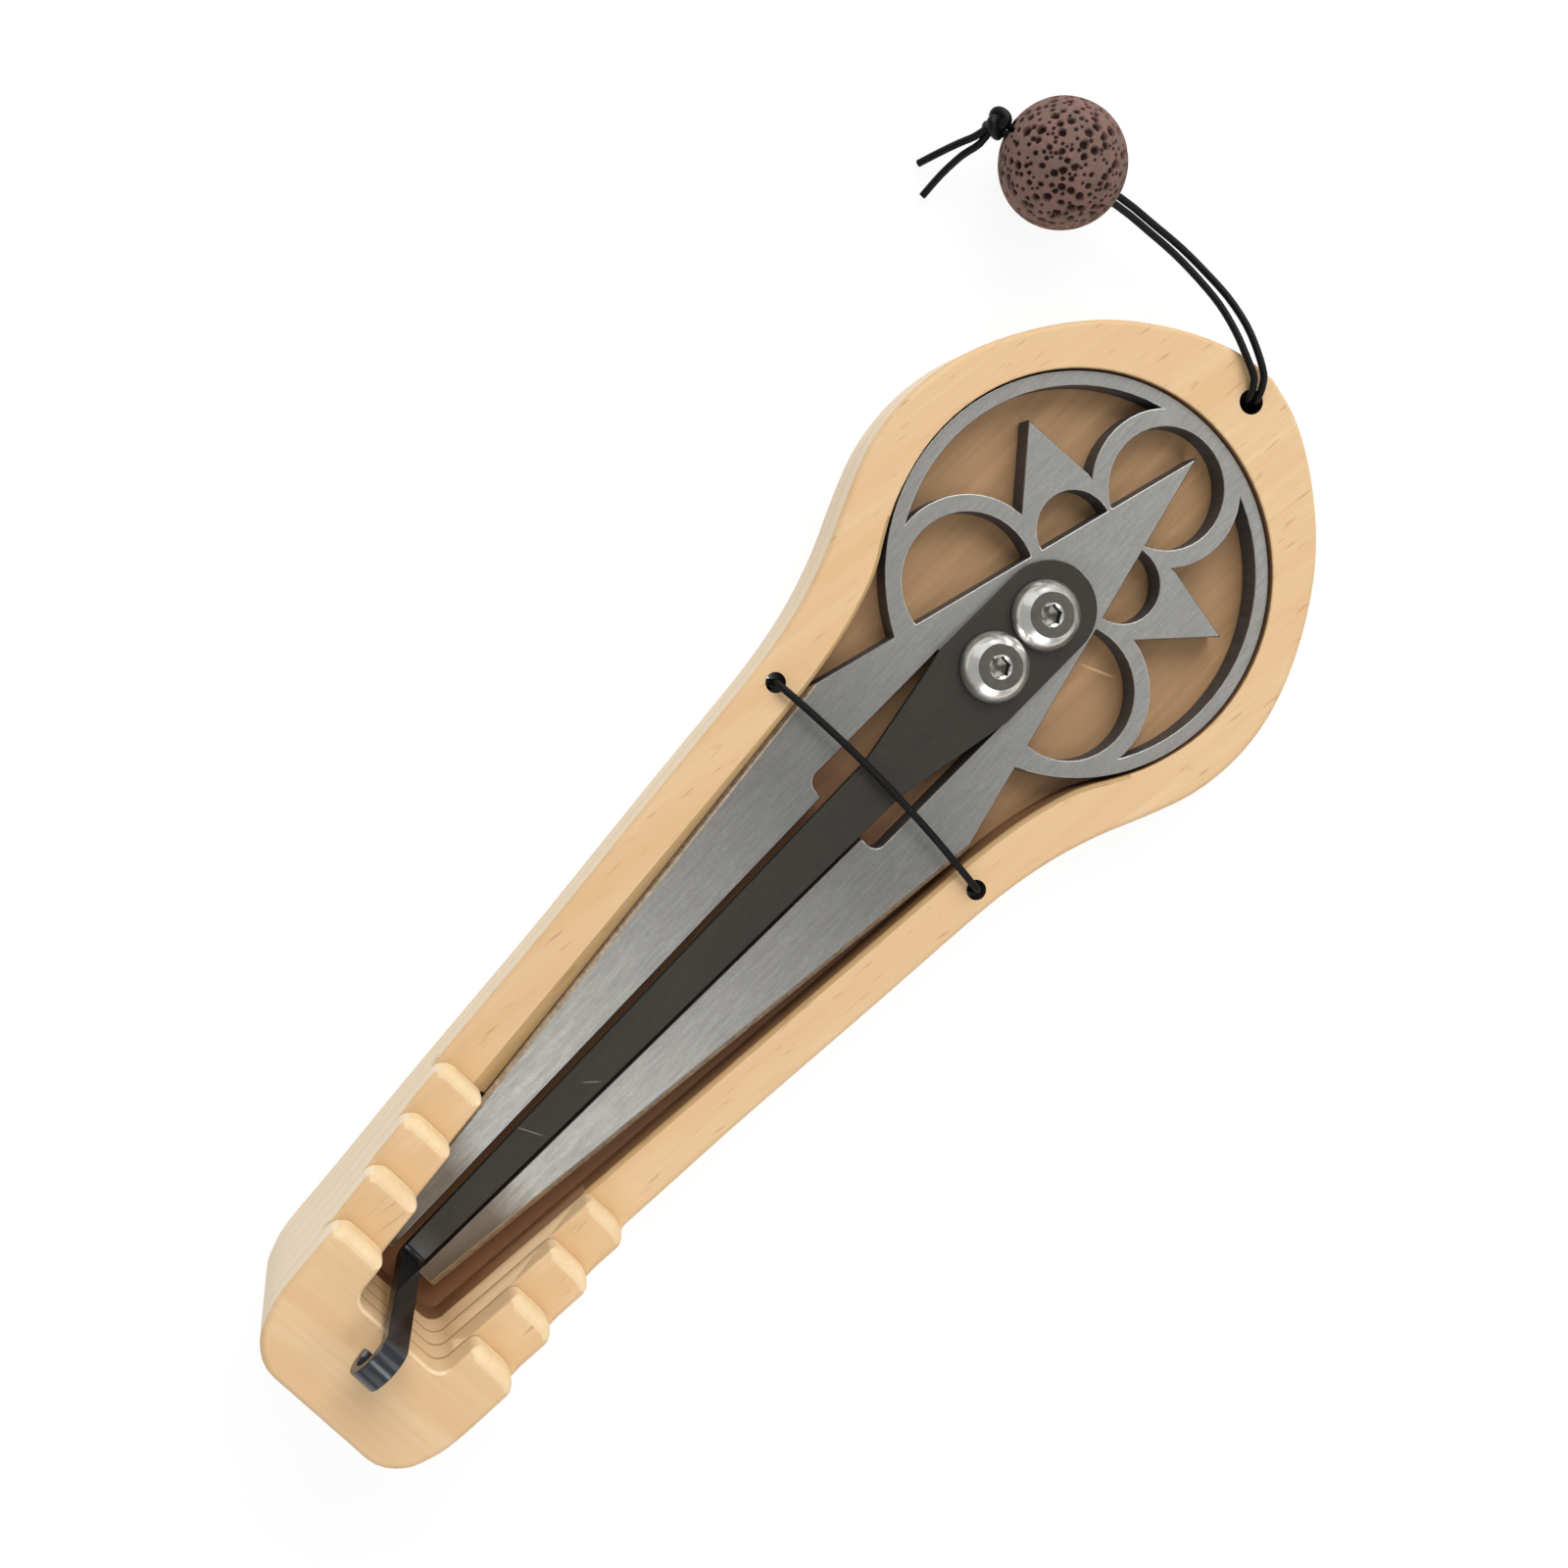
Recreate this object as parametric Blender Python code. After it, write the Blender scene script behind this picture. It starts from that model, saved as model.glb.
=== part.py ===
"""A jaw harp lying in its laminated wooden case, with a beaded lanyard.

Lengths are in metres, +Z is up and the case's axis is Y, with its head towards +Y. Outlines are
written in millimetres from the centre of the harp's ring, for the right-hand side only. The harp is
drawn along Y too, and its seat turns it a little, as it lies in its round pocket.
"""

import math

import bmesh
import bpy
from mathutils import Matrix, Vector

MM = 0.001

# The case: six glued sheets of wood.
SHEET_PITCH = 3.0 * MM
GLUE_LINE = 0.1 * MM
HEAD_REACH = 22.8
TIP_REACH = 84.4
RING_Y = (TIP_REACH - HEAD_REACH) / 2 * MM
CASE_SIDE = [
    (0.0, HEAD_REACH),
    (3.2, 22.2),
    (6.2, 20.9),
    (9.2, 19.0),
    (12.1, 16.6),
    (14.5, 13.9),
    (16.8, 10.4),
    (18.7, 6.4),
    (19.8, 2.4),
    (20.0, -1.6),
    (19.35, -5.6),
    (17.8, -9.6),
    (16.0, -13.6),
    (14.6, -17.7),
    (13.7, -21.8),
    (13.15, -26.0),
    (12.4, -34.0),
    (11.6, -42.0),
    (10.8, -50.0),
    (10.15, -58.0),
    (9.5, -66.0),
    (8.75, -74.0),
    (8.3, -79.4),
    (7.75, -81.6),
    (6.9, -83.2),
    (5.2, -84.3),
    (2.6, -TIP_REACH),
    (0.0, -TIP_REACH),
]
STEP_COUNT = 4
STEP_FIRST = -61.7
STEP_RUN = 3.95
LEG_CORNER = 1.3
LEG_INNER_CORNER = 0.6

# The harp's frame: one steel plate, turned in the pocket by an angle in degrees.
HARP_TURN = -0.55
FRAME_THICKNESS = 2.4 * MM
SEAT_GAP = 0.1 * MM
RING_RADIUS = 16.25
RING_WIDTH = 1.2
SPEAR_TIP = 13.7
SHOULDER = (9.2, -22.3)
ARM_END_HALF = 3.1
ARM_END = -74.8
TOP_CIRCLE = (10.1, 4.95, 6.45)
SIDE_CIRCLE = (6.1, -7.1, 5.5, 6.9)
HALF_CIRCLE = (3.0, 2.1, 3.15)
SPIKE = [(0.0, 5.5), (5.4, 6.05), (11.9, 5.28), (6.78, -0.45), (0.0, -1.5)]

# The reed and its trigger.
REED_THICKNESS = 0.7 * MM
REED_BASE_HALF = 3.95
REED_BASE_END = -12.7
REED_WAIST_HALF = 2.0
REED_WAIST = -23.0
REED_BEND_HALF = 0.97
REED_BEND = -73.6
REED_GAP = 0.4
WINDOW_END = -27.4
WINDOW_CORNER = 0.9
BEND_RADIUS = 0.9
TRIGGER_LEAN = 8.0
TRIGGER_LENGTH = 14.9
EYE_RADIUS = 1.5
EYE_TURN = 250.0

# The pocket leaves this much around the harp, and more beside the arms.
POCKET_GAP = 0.3
POCKET_TIP_HALF = 4.25
POCKET_TIP_GAP = 2.1
POCKET_END = ARM_END - POCKET_TIP_GAP
POCKET_CORNER = 1.15

# The reed's screws.
SCREW_RADIUS = 1.5
SCREW_HOLE_GAP = 0.1
SCREW_HEAD_RADIUS = 2.85
SCREW_HEAD_HEIGHT = 1.65
SCREW_SOCKET_RADIUS = 1.1
SCREW_SOCKET_DEPTH = 1.0
SCREWS = [("screw_upper", -4.62), ("screw_lower", -10.49)]

# Elastic, lanyard and bead.
ELASTIC_RADIUS = 0.3
ELASTIC_HOLE_GAP = 0.5
ELASTIC_X = 11.6
ELASTIC_Y = -23.8
ELASTIC_BOW = 0.5
ELASTIC_LIFT = 0.3
CORD_RADIUS = 0.3
CORD_SPACING = 0.7
CORD_HOLE_RADIUS = 1.0
LANYARD_Y = 20.0
KNOT_ROOM_DEPTH = 2.3
KNOT_ROOM_GAP = 0.3
ELASTIC_KNOT_RADIUS = 0.75
ELASTIC_KNOT_REACH = 2.4
GROOVE_GAP = 0.15
ELASTIC_TURN = 0.75
STOP_KNOT_RADIUS = 1.5
STOP_KNOT_HEIGHT = 1.8
BEAD_RADIUS = 5.15
BEAD_BORE_RADIUS = 0.95
BEAD_CENTRE = (-24.22, 21.49)
BEAD_TURN = 17.0
BORE_SAG = 0.4
END_KNOT_RADIUS = 1.35
END_KNOT_HALF = 0.95
END_KNOT_GAP = 0.06
EMPTY_SIZE = 5.0

SHEET = SHEET_PITCH - GLUE_LINE
FLOOR_Z = SHEET
DECK_Z = SHEET_PITCH + SHEET
FRAME_Z = FLOOR_Z + SEAT_GAP
FRAME_TOP = FRAME_Z + FRAME_THICKNESS
REED_Z = FRAME_TOP + SEAT_GAP
REED_TOP = REED_Z + REED_THICKNESS

for old in list(bpy.data.objects):
    bpy.data.objects.remove(old)
scene = bpy.context.scene
parts = bpy.data.collections.new("jaw_harp")
cutters = bpy.data.collections.new("cutters")
scene.collection.children.link(parts)
scene.collection.children.link(cutters)


def material(name, colour, metallic, roughness):
    made = bpy.data.materials.new(name)
    made.use_nodes = True
    shader = made.node_tree.nodes["Principled BSDF"]
    shader.inputs["Base Color"].default_value = (*colour, 1.0)
    shader.inputs["Metallic"].default_value = metallic
    shader.inputs["Roughness"].default_value = roughness
    made.diffuse_color = (*colour, 1.0)
    return made


STEEL = ("brushed_steel", (0.42, 0.42, 0.41), 1.0, 0.45)
DARK_STEEL = ("dark_steel", (0.06, 0.058, 0.05), 0.8, 0.45)
BRIGHT_STEEL = ("bright_steel", (0.7, 0.7, 0.68), 1.0, 0.2)
WOOD = ("pale_wood", (0.75, 0.55, 0.33), 0.0, 0.6)
BLACK_ELASTIC = ("black_elastic", (0.015, 0.015, 0.015), 0.0, 0.6)
BLACK_CORD = ("black_cord", (0.012, 0.012, 0.012), 0.0, 0.45)
LAVA = ("lava_stone", (0.25, 0.17, 0.15), 0.0, 0.9)


def world(point, z=0.0):
    """A point given in millimetres from the ring's centre, in metres, at height z in metres."""
    return Vector((point[0] * MM, point[1] * MM + RING_Y, z))


def mirrored(side):
    """The closed loop made from a right-hand side, listed from head to tip."""
    left = [(-x, y) for x, y in reversed(side) if abs(x) > 1e-9]
    return list(side) + left


def smooth(points, steps):
    """A curve through the points, as a list of points."""
    ends = [points[0], *points, points[-1]]
    found = []
    for index in range(1, len(ends) - 2):
        before, start, end, after = ends[index - 1 : index + 3]
        for step in range(steps):
            t = step / steps
            found.append(
                tuple(
                    0.5
                    * (
                        2 * b
                        + (c - a) * t
                        + (2 * a - 5 * b + 4 * c - d) * t * t
                        + (3 * b - a - 3 * c + d) * t**3
                    )
                    for a, b, c, d in zip(before, start, end, after)
                )
            )
    found.append(tuple(points[-1]))
    return found


def arc(centre, radius, start, end, steps):
    """Points on an arc, from the start angle to the end angle in degrees."""
    found = []
    for step in range(steps + 1):
        angle = math.radians(start + (end - start) * step / steps)
        found.append((centre[0] + radius * math.cos(angle), centre[1] + radius * math.sin(angle)))
    return found


def link(name, mesh, collection):
    made = bpy.data.objects.new(name, mesh)
    collection.objects.link(made)
    return made


def plate(name, loop, low, high, look=None):
    """A flat sheet with the loop as its outline, from height low to height high."""
    mesh = bpy.data.meshes.new(name)
    shape = bmesh.new()
    bottom = [shape.verts.new(world(point, low)) for point in loop]
    face = shape.faces.new(bottom)
    face.normal_update()
    made = bmesh.ops.extrude_face_region(shape, geom=[face])
    raised = [item for item in made["geom"] if isinstance(item, bmesh.types.BMVert)]
    bmesh.ops.translate(shape, verts=raised, vec=(0, 0, high - low))
    bmesh.ops.recalc_face_normals(shape, faces=shape.faces)
    shape.to_mesh(mesh)
    shape.free()
    made = link(name, mesh, parts if look else cutters)
    finish(made, look)
    return made


def lathe(name, profile, place, look=None, segments=32, closed=False):
    """A solid turned about the Z axis of place from (radius, height) pairs in millimetres."""
    mesh = bpy.data.meshes.new(name)
    shape = bmesh.new()
    rings = []
    for radius, height in profile:
        ring = []
        for step in range(segments):
            angle = 2 * math.pi * step / segments
            spot = Vector((radius * math.cos(angle), radius * math.sin(angle), height)) * MM
            ring.append(shape.verts.new(place @ spot))
        rings.append(ring)
    pairs = list(zip(rings, rings[1:]))
    if closed:
        pairs.append((rings[-1], rings[0]))
    for upper, lower in pairs:
        for step in range(segments):
            after = (step + 1) % segments
            shape.faces.new((upper[step], upper[after], lower[after], lower[step]))
    if not closed:
        shape.faces.new(rings[0])
        shape.faces.new(rings[-1])
    bmesh.ops.recalc_face_normals(shape, faces=shape.faces)
    shape.to_mesh(mesh)
    shape.free()
    made = link(name, mesh, parts if look else cutters)
    finish(made, look)
    return made


def finish(made, look):
    """Gives a part its material, or hides a cutter."""
    if look:
        made.data.materials.append(material(made.name + "_" + look[0], *look[1:]))
        return
    made.hide_render = True
    made.display_type = "WIRE"


def round_shade(made):
    """Smooth shading on the curved faces only."""
    made.data.shade_smooth()
    made.data.set_sharp_from_angle(angle=math.radians(35))


def cut(made, cutter):
    change = made.modifiers.new("cut_" + cutter.name, "BOOLEAN")
    change.operation = "DIFFERENCE"
    change.solver = "EXACT"
    change.object = cutter


def drill(name, point, radius, low, high, segments=32):
    """A round cutter along Z."""
    place = Matrix.Translation(world(point))
    return lathe(name, [(radius, high / MM), (radius, low / MM)], place, segments=segments)


def tube(name, points, radius, look, swell=None):
    """A round cord through points given in metres."""
    curve = bpy.data.curves.new(name, "CURVE")
    curve.dimensions = "3D"
    curve.bevel_depth = radius * MM
    curve.bevel_resolution = 2
    curve.use_fill_caps = True
    spline = curve.splines.new("POLY")
    spline.points.add(len(points) - 1)
    for index, point in enumerate(points):
        spline.points[index].co = (*point, 1.0)
        spline.points[index].radius = swell[index] if swell else 1.0
    made = link(name, curve, parts)
    finish(made, look)
    return made


def move_origin(made, spot):
    """Puts the object's origin on its joint, and leaves its shape where it is."""
    made.data.transform(Matrix.Translation(-spot))
    made.location = spot


def empty(name, spot):
    made = bpy.data.objects.new(name, None)
    made.empty_display_size = EMPTY_SIZE * MM
    made.location = spot
    parts.objects.link(made)
    return made


def hold(child, parent):
    child.parent = parent
    child.matrix_parent_inverse = Matrix.Translation(-parent.location)


# The case's outline and pocket.
case_side = smooth(CASE_SIDE, 3)
pocket_radius = RING_RADIUS + POCKET_GAP
neck_start = -34.0
pocket_side = arc((0, 0), pocket_radius, 90, neck_start, 30)
pocket_side += smooth(
    [
        pocket_side[-1],
        (12.0, -12.1),
        (10.9, -15.2),
        (SHOULDER[0] + 3 * POCKET_GAP, -18.6),
        (SHOULDER[0] + POCKET_GAP, SHOULDER[1] - 0.2),
    ],
    3,
)[1:]
tip_corner = (POCKET_TIP_HALF - POCKET_CORNER, POCKET_END + POCKET_CORNER)
pocket_tip = arc(tip_corner, POCKET_CORNER, 5, -90, 6)
pocket_side += pocket_tip
case_loop = mirrored(case_side)
pocket_loop = mirrored(pocket_side)


def side_at(side, y):
    """The half width of a side, listed from head to tip, at y."""
    for upper, lower in zip(side, side[1:]):
        if upper[1] >= y > lower[1]:
            share = (upper[1] - y) / (upper[1] - lower[1])
            return upper[0] + (lower[0] - upper[0]) * share
    raise ValueError("y lies past the outline")


def step_loop(front):
    """A U-shaped outline: the tip of the case as far as front, with the pocket left open."""
    outer_turn = front - LEG_CORNER
    inner_turn = front - LEG_INNER_CORNER
    outer = side_at(case_side, outer_turn)
    inner = side_at(pocket_side, inner_turn)
    leg = arc((inner + LEG_INNER_CORNER, inner_turn), LEG_INNER_CORNER, 180, 90, 4)
    leg += arc((outer - LEG_CORNER, outer_turn), LEG_CORNER, 90, 0, 5)
    leg += [point for point in case_side if point[1] < outer_turn - 0.4]
    inside = [point for point in pocket_side if point[1] < inner_turn - 0.4]
    return mirrored(leg) + [(-x, y) for x, y in inside] + list(reversed(inside))


# The sheets of the case, with the holes for elastic and lanyard and the room for their knots.
base = plate("case_base", case_loop, 0.0, SHEET, WOOD)
pocket = plate("case_pocket", case_loop, SHEET_PITCH, DECK_Z, WOOD)
cut(pocket, plate("pocket_cut", pocket_loop, SHEET_PITCH / 2, 3 * SHEET_PITCH))
below = -SHEET_PITCH
above = 3 * SHEET_PITCH
room = KNOT_ROOM_DEPTH * MM
elastic_hole = ELASTIC_RADIUS + ELASTIC_HOLE_GAP
for name, point, hole in (
    ("elastic_left", (-ELASTIC_X, ELASTIC_Y), elastic_hole),
    ("elastic_right", (ELASTIC_X, ELASTIC_Y), elastic_hole),
    ("lanyard", (0.0, LANYARD_Y), CORD_HOLE_RADIUS),
):
    through = drill(name + "_hole", point, hole, below, above, 24)
    cut(base, through)
    cut(pocket, through)
for name, point, radius in (
    ("elastic", (0.0, ELASTIC_Y), ELASTIC_KNOT_RADIUS + 3 * KNOT_ROOM_GAP),
    ("lanyard", (0.0, LANYARD_Y), STOP_KNOT_RADIUS + KNOT_ROOM_GAP),
):
    cut(base, drill(name + "_room", point, radius, below, room, 24))
groove_half = ELASTIC_RADIUS + GROOVE_GAP
groove_low = ELASTIC_Y - groove_half
groove_high = ELASTIC_Y + groove_half
groove_loop = [(-ELASTIC_X, groove_low), (ELASTIC_X, groove_low), (ELASTIC_X, groove_high)]
groove_loop.append((-ELASTIC_X, groove_high))
groove_depth = 2 * (ELASTIC_RADIUS + GROOVE_GAP) * MM
cut(base, plate("elastic_groove", groove_loop, below, groove_depth))
for index in range(STEP_COUNT):
    low = (index + 2) * SHEET_PITCH
    loop = step_loop(STEP_FIRST - index * STEP_RUN)
    plate("case_step_%d" % (index + 1), loop, low, low + SHEET, WOOD)

# The seat that the harp's pieces and their cutters hang on.
harp = empty("harp_seat", world((0, 0), FRAME_Z))
harp.rotation_euler.z = math.radians(HARP_TURN)

# The frame's outline, from the top of its ring to the window around the reed.
slope = (SPEAR_TIP - SHOULDER[1]) / SHOULDER[0]
bend_a = 1 + slope * slope
bend_b = SPEAR_TIP * slope
meet_x = (bend_b + math.sqrt(bend_b**2 - bend_a * (SPEAR_TIP**2 - RING_RADIUS**2))) / bend_a
meet_y = SPEAR_TIP - slope * meet_x
meet_angle = math.degrees(math.atan2(meet_y, meet_x))


def reed_half(y):
    """The reed's half width at y, from its waist to its bend."""
    share = (REED_WAIST - y) / (REED_WAIST - REED_BEND)
    return REED_WAIST_HALF + (REED_BEND_HALF - REED_WAIST_HALF) * share


frame_side = arc((0, 0), RING_RADIUS, 90, meet_angle, 40)
frame_side += [SHOULDER, (ARM_END_HALF, ARM_END)]
frame_side += [(reed_half(ARM_END) + REED_GAP, ARM_END)]
frame_side += [(reed_half(WINDOW_END) + REED_GAP, WINDOW_END)]
corner = (REED_BASE_HALF - WINDOW_CORNER, WINDOW_END + WINDOW_CORNER)
frame_side += arc(corner, WINDOW_CORNER, -90, 0, 5)
frame_side += [(REED_BASE_HALF, REED_BASE_END)]
frame = plate("harp_frame", mirrored(frame_side), FRAME_Z, FRAME_TOP, STEEL)

# The openings of the head. Each cutter leaves the spear and the rings and points standing.
low = FRAME_Z - SHEET_PITCH
high = FRAME_TOP + SHEET_PITCH
spear = plate("spear_kept", [(0, SPEAR_TIP), SHOULDER, (-SHOULDER[0], SHOULDER[1])], low * 2, high * 2)
top_y, top_hole, top_ring = TOP_CIRCLE
side_x, side_y, side_hole, side_ring = SIDE_CIRCLE
half_x, half_y, half_hole = HALF_CIRCLE
ring_cut = drill("ring_cut", (0, 0), RING_RADIUS - RING_WIDTH, low, high, 72)
kept = [spear, drill("top_ring_kept", (0, top_y), top_ring, low * 2, high * 2, 48)]
openings = [ring_cut]
top_cut = drill("top_cut", (0, top_y), top_hole, low, high, 40)
cut(top_cut, spear)
openings.append(top_cut)
for hand, turn in (("left", -1), ("right", 1)):
    kept.append(plate("spike_kept_" + hand, [(turn * x, y) for x, y in SPIKE], low * 2, high * 2))
    centre = (turn * side_x, side_y)
    kept.append(drill("side_ring_kept_" + hand, centre, side_ring, low * 2, high * 2, 48))
    side_cut = drill("side_cut_" + hand, centre, side_hole, low, high, 40)
    half_cut = drill("half_cut_" + hand, (turn * half_x, half_y), half_hole, low, high, 32)
    for made in (side_cut, half_cut):
        cut(made, spear)
        openings.append(made)
for made in kept:
    cut(ring_cut, made)
for made in openings:
    cut(frame, made)
for made in (frame, *openings, *kept):
    hold(made, harp)

# The reed: a strip swept along its middle line, which turns up into the trigger and rolls into an eye.
line = []
base_middle = -REED_BASE_HALF
for step in range(13):
    angle = math.radians(8 + 82 * step / 12)
    line.append((base_middle + REED_BASE_HALF * math.cos(angle), 0.0, REED_BASE_HALF * math.sin(angle)))
line.append((REED_BASE_END, 0.0, REED_BASE_HALF))
for step in range(13):
    y = REED_WAIST + (REED_BEND - REED_WAIST) * step / 12
    line.append((y, 0.0, reed_half(y)))
lean = math.radians(TRIGGER_LEAN)
bend_turn = math.pi / 2 - lean
for step in range(1, 9):
    angle = bend_turn * step / 8
    y = REED_BEND - BEND_RADIUS * math.sin(angle)
    line.append((y, BEND_RADIUS * (1 - math.cos(angle)), REED_BEND_HALF))
rise = (-math.sin(lean), math.cos(lean))
foot = line[-1]
for step in range(1, 5):
    along = TRIGGER_LENGTH * step / 4
    line.append((foot[0] + rise[0] * along, foot[1] + rise[1] * along, REED_BEND_HALF))
head = line[-1]
eye_y = head[0] - EYE_RADIUS * math.cos(lean)
eye_z = head[1] - EYE_RADIUS * math.sin(lean)
for step in range(1, 21):
    angle = lean + math.radians(EYE_TURN) * step / 20
    y = eye_y + EYE_RADIUS * math.cos(angle)
    line.append((y, eye_z + EYE_RADIUS * math.sin(angle), REED_BEND_HALF))
mesh = bpy.data.meshes.new("reed")
shape = bmesh.new()
rings = []
for index, (y, rise_z, half) in enumerate(line):
    before = line[max(index - 1, 0)]
    after = line[min(index + 1, len(line) - 1)]
    run = Vector((0, after[0] - before[0], after[1] - before[1])).normalized()
    up = Vector((0, run.z, -run.y)) * REED_THICKNESS / 2
    middle = world((0, y), REED_Z + REED_THICKNESS / 2 + rise_z * MM)
    across = Vector((half * MM, 0, 0))
    spots = (middle - across - up, middle + across - up, middle + across + up, middle - across + up)
    rings.append([shape.verts.new(spot) for spot in spots])
for upper, lower in zip(rings, rings[1:]):
    for step in range(4):
        after = (step + 1) % 4
        shape.faces.new((upper[step], upper[after], lower[after], lower[step]))
shape.faces.new(rings[0])
shape.faces.new(rings[-1])
bmesh.ops.recalc_face_normals(shape, faces=shape.faces)
shape.to_mesh(mesh)
shape.free()
reed = link("reed", mesh, parts)
finish(reed, DARK_STEEL)

# The screws, and their holes in reed and frame.
screw_low = FRAME_Z / MM + SCREW_HOLE_GAP
head_low = REED_TOP / MM + SCREW_HOLE_GAP
head_top = head_low + SCREW_HEAD_HEIGHT
for name, y in SCREWS:
    hole = drill(name + "_hole", (0, y), SCREW_RADIUS + SCREW_HOLE_GAP, low, high, 32)
    cut(frame, hole)
    cut(reed, hole)
    profile = [
        (SCREW_HEAD_RADIUS * 0.52, head_top),
        (SCREW_HEAD_RADIUS * 0.7, head_top - SCREW_HEAD_HEIGHT * 0.1),
        (SCREW_HEAD_RADIUS * 0.86, head_top - SCREW_HEAD_HEIGHT * 0.32),
        (SCREW_HEAD_RADIUS * 0.96, head_top - SCREW_HEAD_HEIGHT * 0.62),
        (SCREW_HEAD_RADIUS, head_top - SCREW_HEAD_HEIGHT * 0.9),
        (SCREW_HEAD_RADIUS, head_low),
        (SCREW_RADIUS, head_low),
        (SCREW_RADIUS, screw_low),
    ]
    screw = lathe(name, profile, Matrix.Translation(world((0, y))), BRIGHT_STEEL)
    socket_low = (head_top - SCREW_SOCKET_DEPTH) * MM
    socket = drill(name + "_socket", (0, y), SCREW_SOCKET_RADIUS, socket_low, high * 2, 6)
    cut(screw, socket)
    round_shade(screw)
    for made in (hole, screw, socket):
        hold(made, harp)
move_origin(reed, world((0, REED_BASE_END), REED_Z))
hold(reed, harp)

# The elastic: a loop over the harp, down both holes and back along a groove under the case.
deck = DECK_Z / MM
over_reed = (REED_TOP + SEAT_GAP) / MM + ELASTIC_RADIUS + ELASTIC_LIFT
lift = ELASTIC_RADIUS + ELASTIC_LIFT
groove_z = ELASTIC_RADIUS + GROOVE_GAP
knot_z = KNOT_ROOM_DEPTH / 2
knot_swell = ELASTIC_KNOT_RADIUS / ELASTIC_RADIUS
side = [(0.0, 0.0, knot_z, knot_swell), (0.6, 0.0, knot_z, 0.9 * knot_swell)]
side += [(1.0, 0.0, knot_z - 0.1, 1.1), (1.6, 0.0, groove_z + 0.1, 1.0)]
side += [(ELASTIC_KNOT_REACH, 0.0, groove_z, 1.0)]
for step in range(1, 5):
    x = ELASTIC_KNOT_REACH + (ELASTIC_X - ELASTIC_TURN - ELASTIC_KNOT_REACH) * step / 4
    side.append((x, 0.0, groove_z, 1.0))
low_turn = (ELASTIC_X - ELASTIC_TURN, groove_z + ELASTIC_TURN)
for x, z in arc(low_turn, ELASTIC_TURN, -72, 0, 4):
    side.append((x, 0.0, z, 1.0))
side.append((ELASTIC_X, 0.0, deck - 1.4, 1.0))
for x, z in arc((ELASTIC_X - lift, deck), lift, 0, 80, 6):
    side.append((x, 0.0, z, 1.0))
last = side[-1]
for step in range(1, 9):
    share = step / 8
    ease = share * (2 - share)
    height = last[2] + (over_reed - last[2]) * ease
    side.append((last[0] * (1 - share), ELASTIC_BOW * ease, height, 1.0))
route = side + [(-x, y, z, swell) for x, y, z, swell in reversed(side[1:-1])]
points = [world((x, ELASTIC_Y + y), z * MM) for x, y, z, _ in route]
elastic = tube("elastic", points, ELASTIC_RADIUS, BLACK_ELASTIC, [swell for *_, swell in route])
elastic.data.splines[0].use_cyclic_u = True

# The lanyard: two strands side by side, from the stop knot over the case's head to the bead.
stop_top = KNOT_ROOM_DEPTH - 0.1
stop_profile = [
    (STOP_KNOT_RADIUS * 0.35, stop_top),
    (STOP_KNOT_RADIUS * 0.85, stop_top - STOP_KNOT_HEIGHT * 0.2),
    (STOP_KNOT_RADIUS, stop_top - STOP_KNOT_HEIGHT / 2),
    (STOP_KNOT_RADIUS * 0.85, stop_top - STOP_KNOT_HEIGHT * 0.8),
    (STOP_KNOT_RADIUS * 0.35, stop_top - STOP_KNOT_HEIGHT),
]
stop_place = Matrix.Translation(world((0, LANYARD_Y)))
stop_knot = lathe("lanyard_stop_knot", stop_profile, stop_place, BLACK_CORD, 16)
round_shade(stop_knot)
bead_turn = math.radians(BEAD_TURN)
bore = Vector((-math.cos(bead_turn), -math.sin(bead_turn)))
bead_spot = Vector(BEAD_CENTRE)
mouth_depth = math.sqrt(BEAD_RADIUS**2 - BEAD_BORE_RADIUS**2)
enter = bead_spot - bore * (BEAD_RADIUS + 0.4)
leave = bead_spot + bore * mouth_depth
bore_z = BEAD_RADIUS - BORE_SAG
middle_route = smooth(
    [
        (0.0, LANYARD_Y, stop_top + 0.2, CORD_SPACING),
        (0.0, LANYARD_Y, deck - 1.3, CORD_SPACING),
        (0.0, LANYARD_Y + 0.05, deck - 0.55, CORD_SPACING),
        (-0.08, LANYARD_Y + 0.18, deck + 0.08, CORD_SPACING),
        (-0.36, LANYARD_Y + 0.55, deck + 0.53, CORD_SPACING),
        (-0.73, LANYARD_Y + 1.05, deck + 0.7, 0.8),
        (-1.31, LANYARD_Y + 1.68, deck + 0.7, 0.9),
        (-2.95, 22.52, 6.42, 1.05),
        (-4.95, 23.39, 6.0, 1.08),
        (-7.37, 24.03, 5.45, 0.95),
        (-10.01, 24.23, 5.0, 0.82),
        (-12.72, 24.16, 4.75, 0.76),
        (-15.48, 23.78, 4.65, CORD_SPACING),
        (enter.x, enter.y, bore_z, CORD_SPACING),
        (bead_spot.x, bead_spot.y, bore_z, CORD_SPACING),
        (leave.x, leave.y, bore_z, CORD_SPACING),
    ],
    3,
)
for hand, turn in (("left", 1), ("right", -1)):
    points = []
    for index, (x, y, z, spacing) in enumerate(middle_route):
        before = Vector(middle_route[max(index - 1, 0)][:2])
        after = Vector(middle_route[min(index + 1, len(middle_route) - 1)][:2])
        run = after - before
        run = run.normalized() if run.length > 0.3 else Vector((-0.7, 0.7))
        offset = Vector((-run.y, run.x)) * turn * spacing / 2
        points.append(world((x + offset.x, y + offset.y), z * MM))
    tube("lanyard_strand_" + hand, points, CORD_RADIUS, BLACK_CORD)

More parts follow.
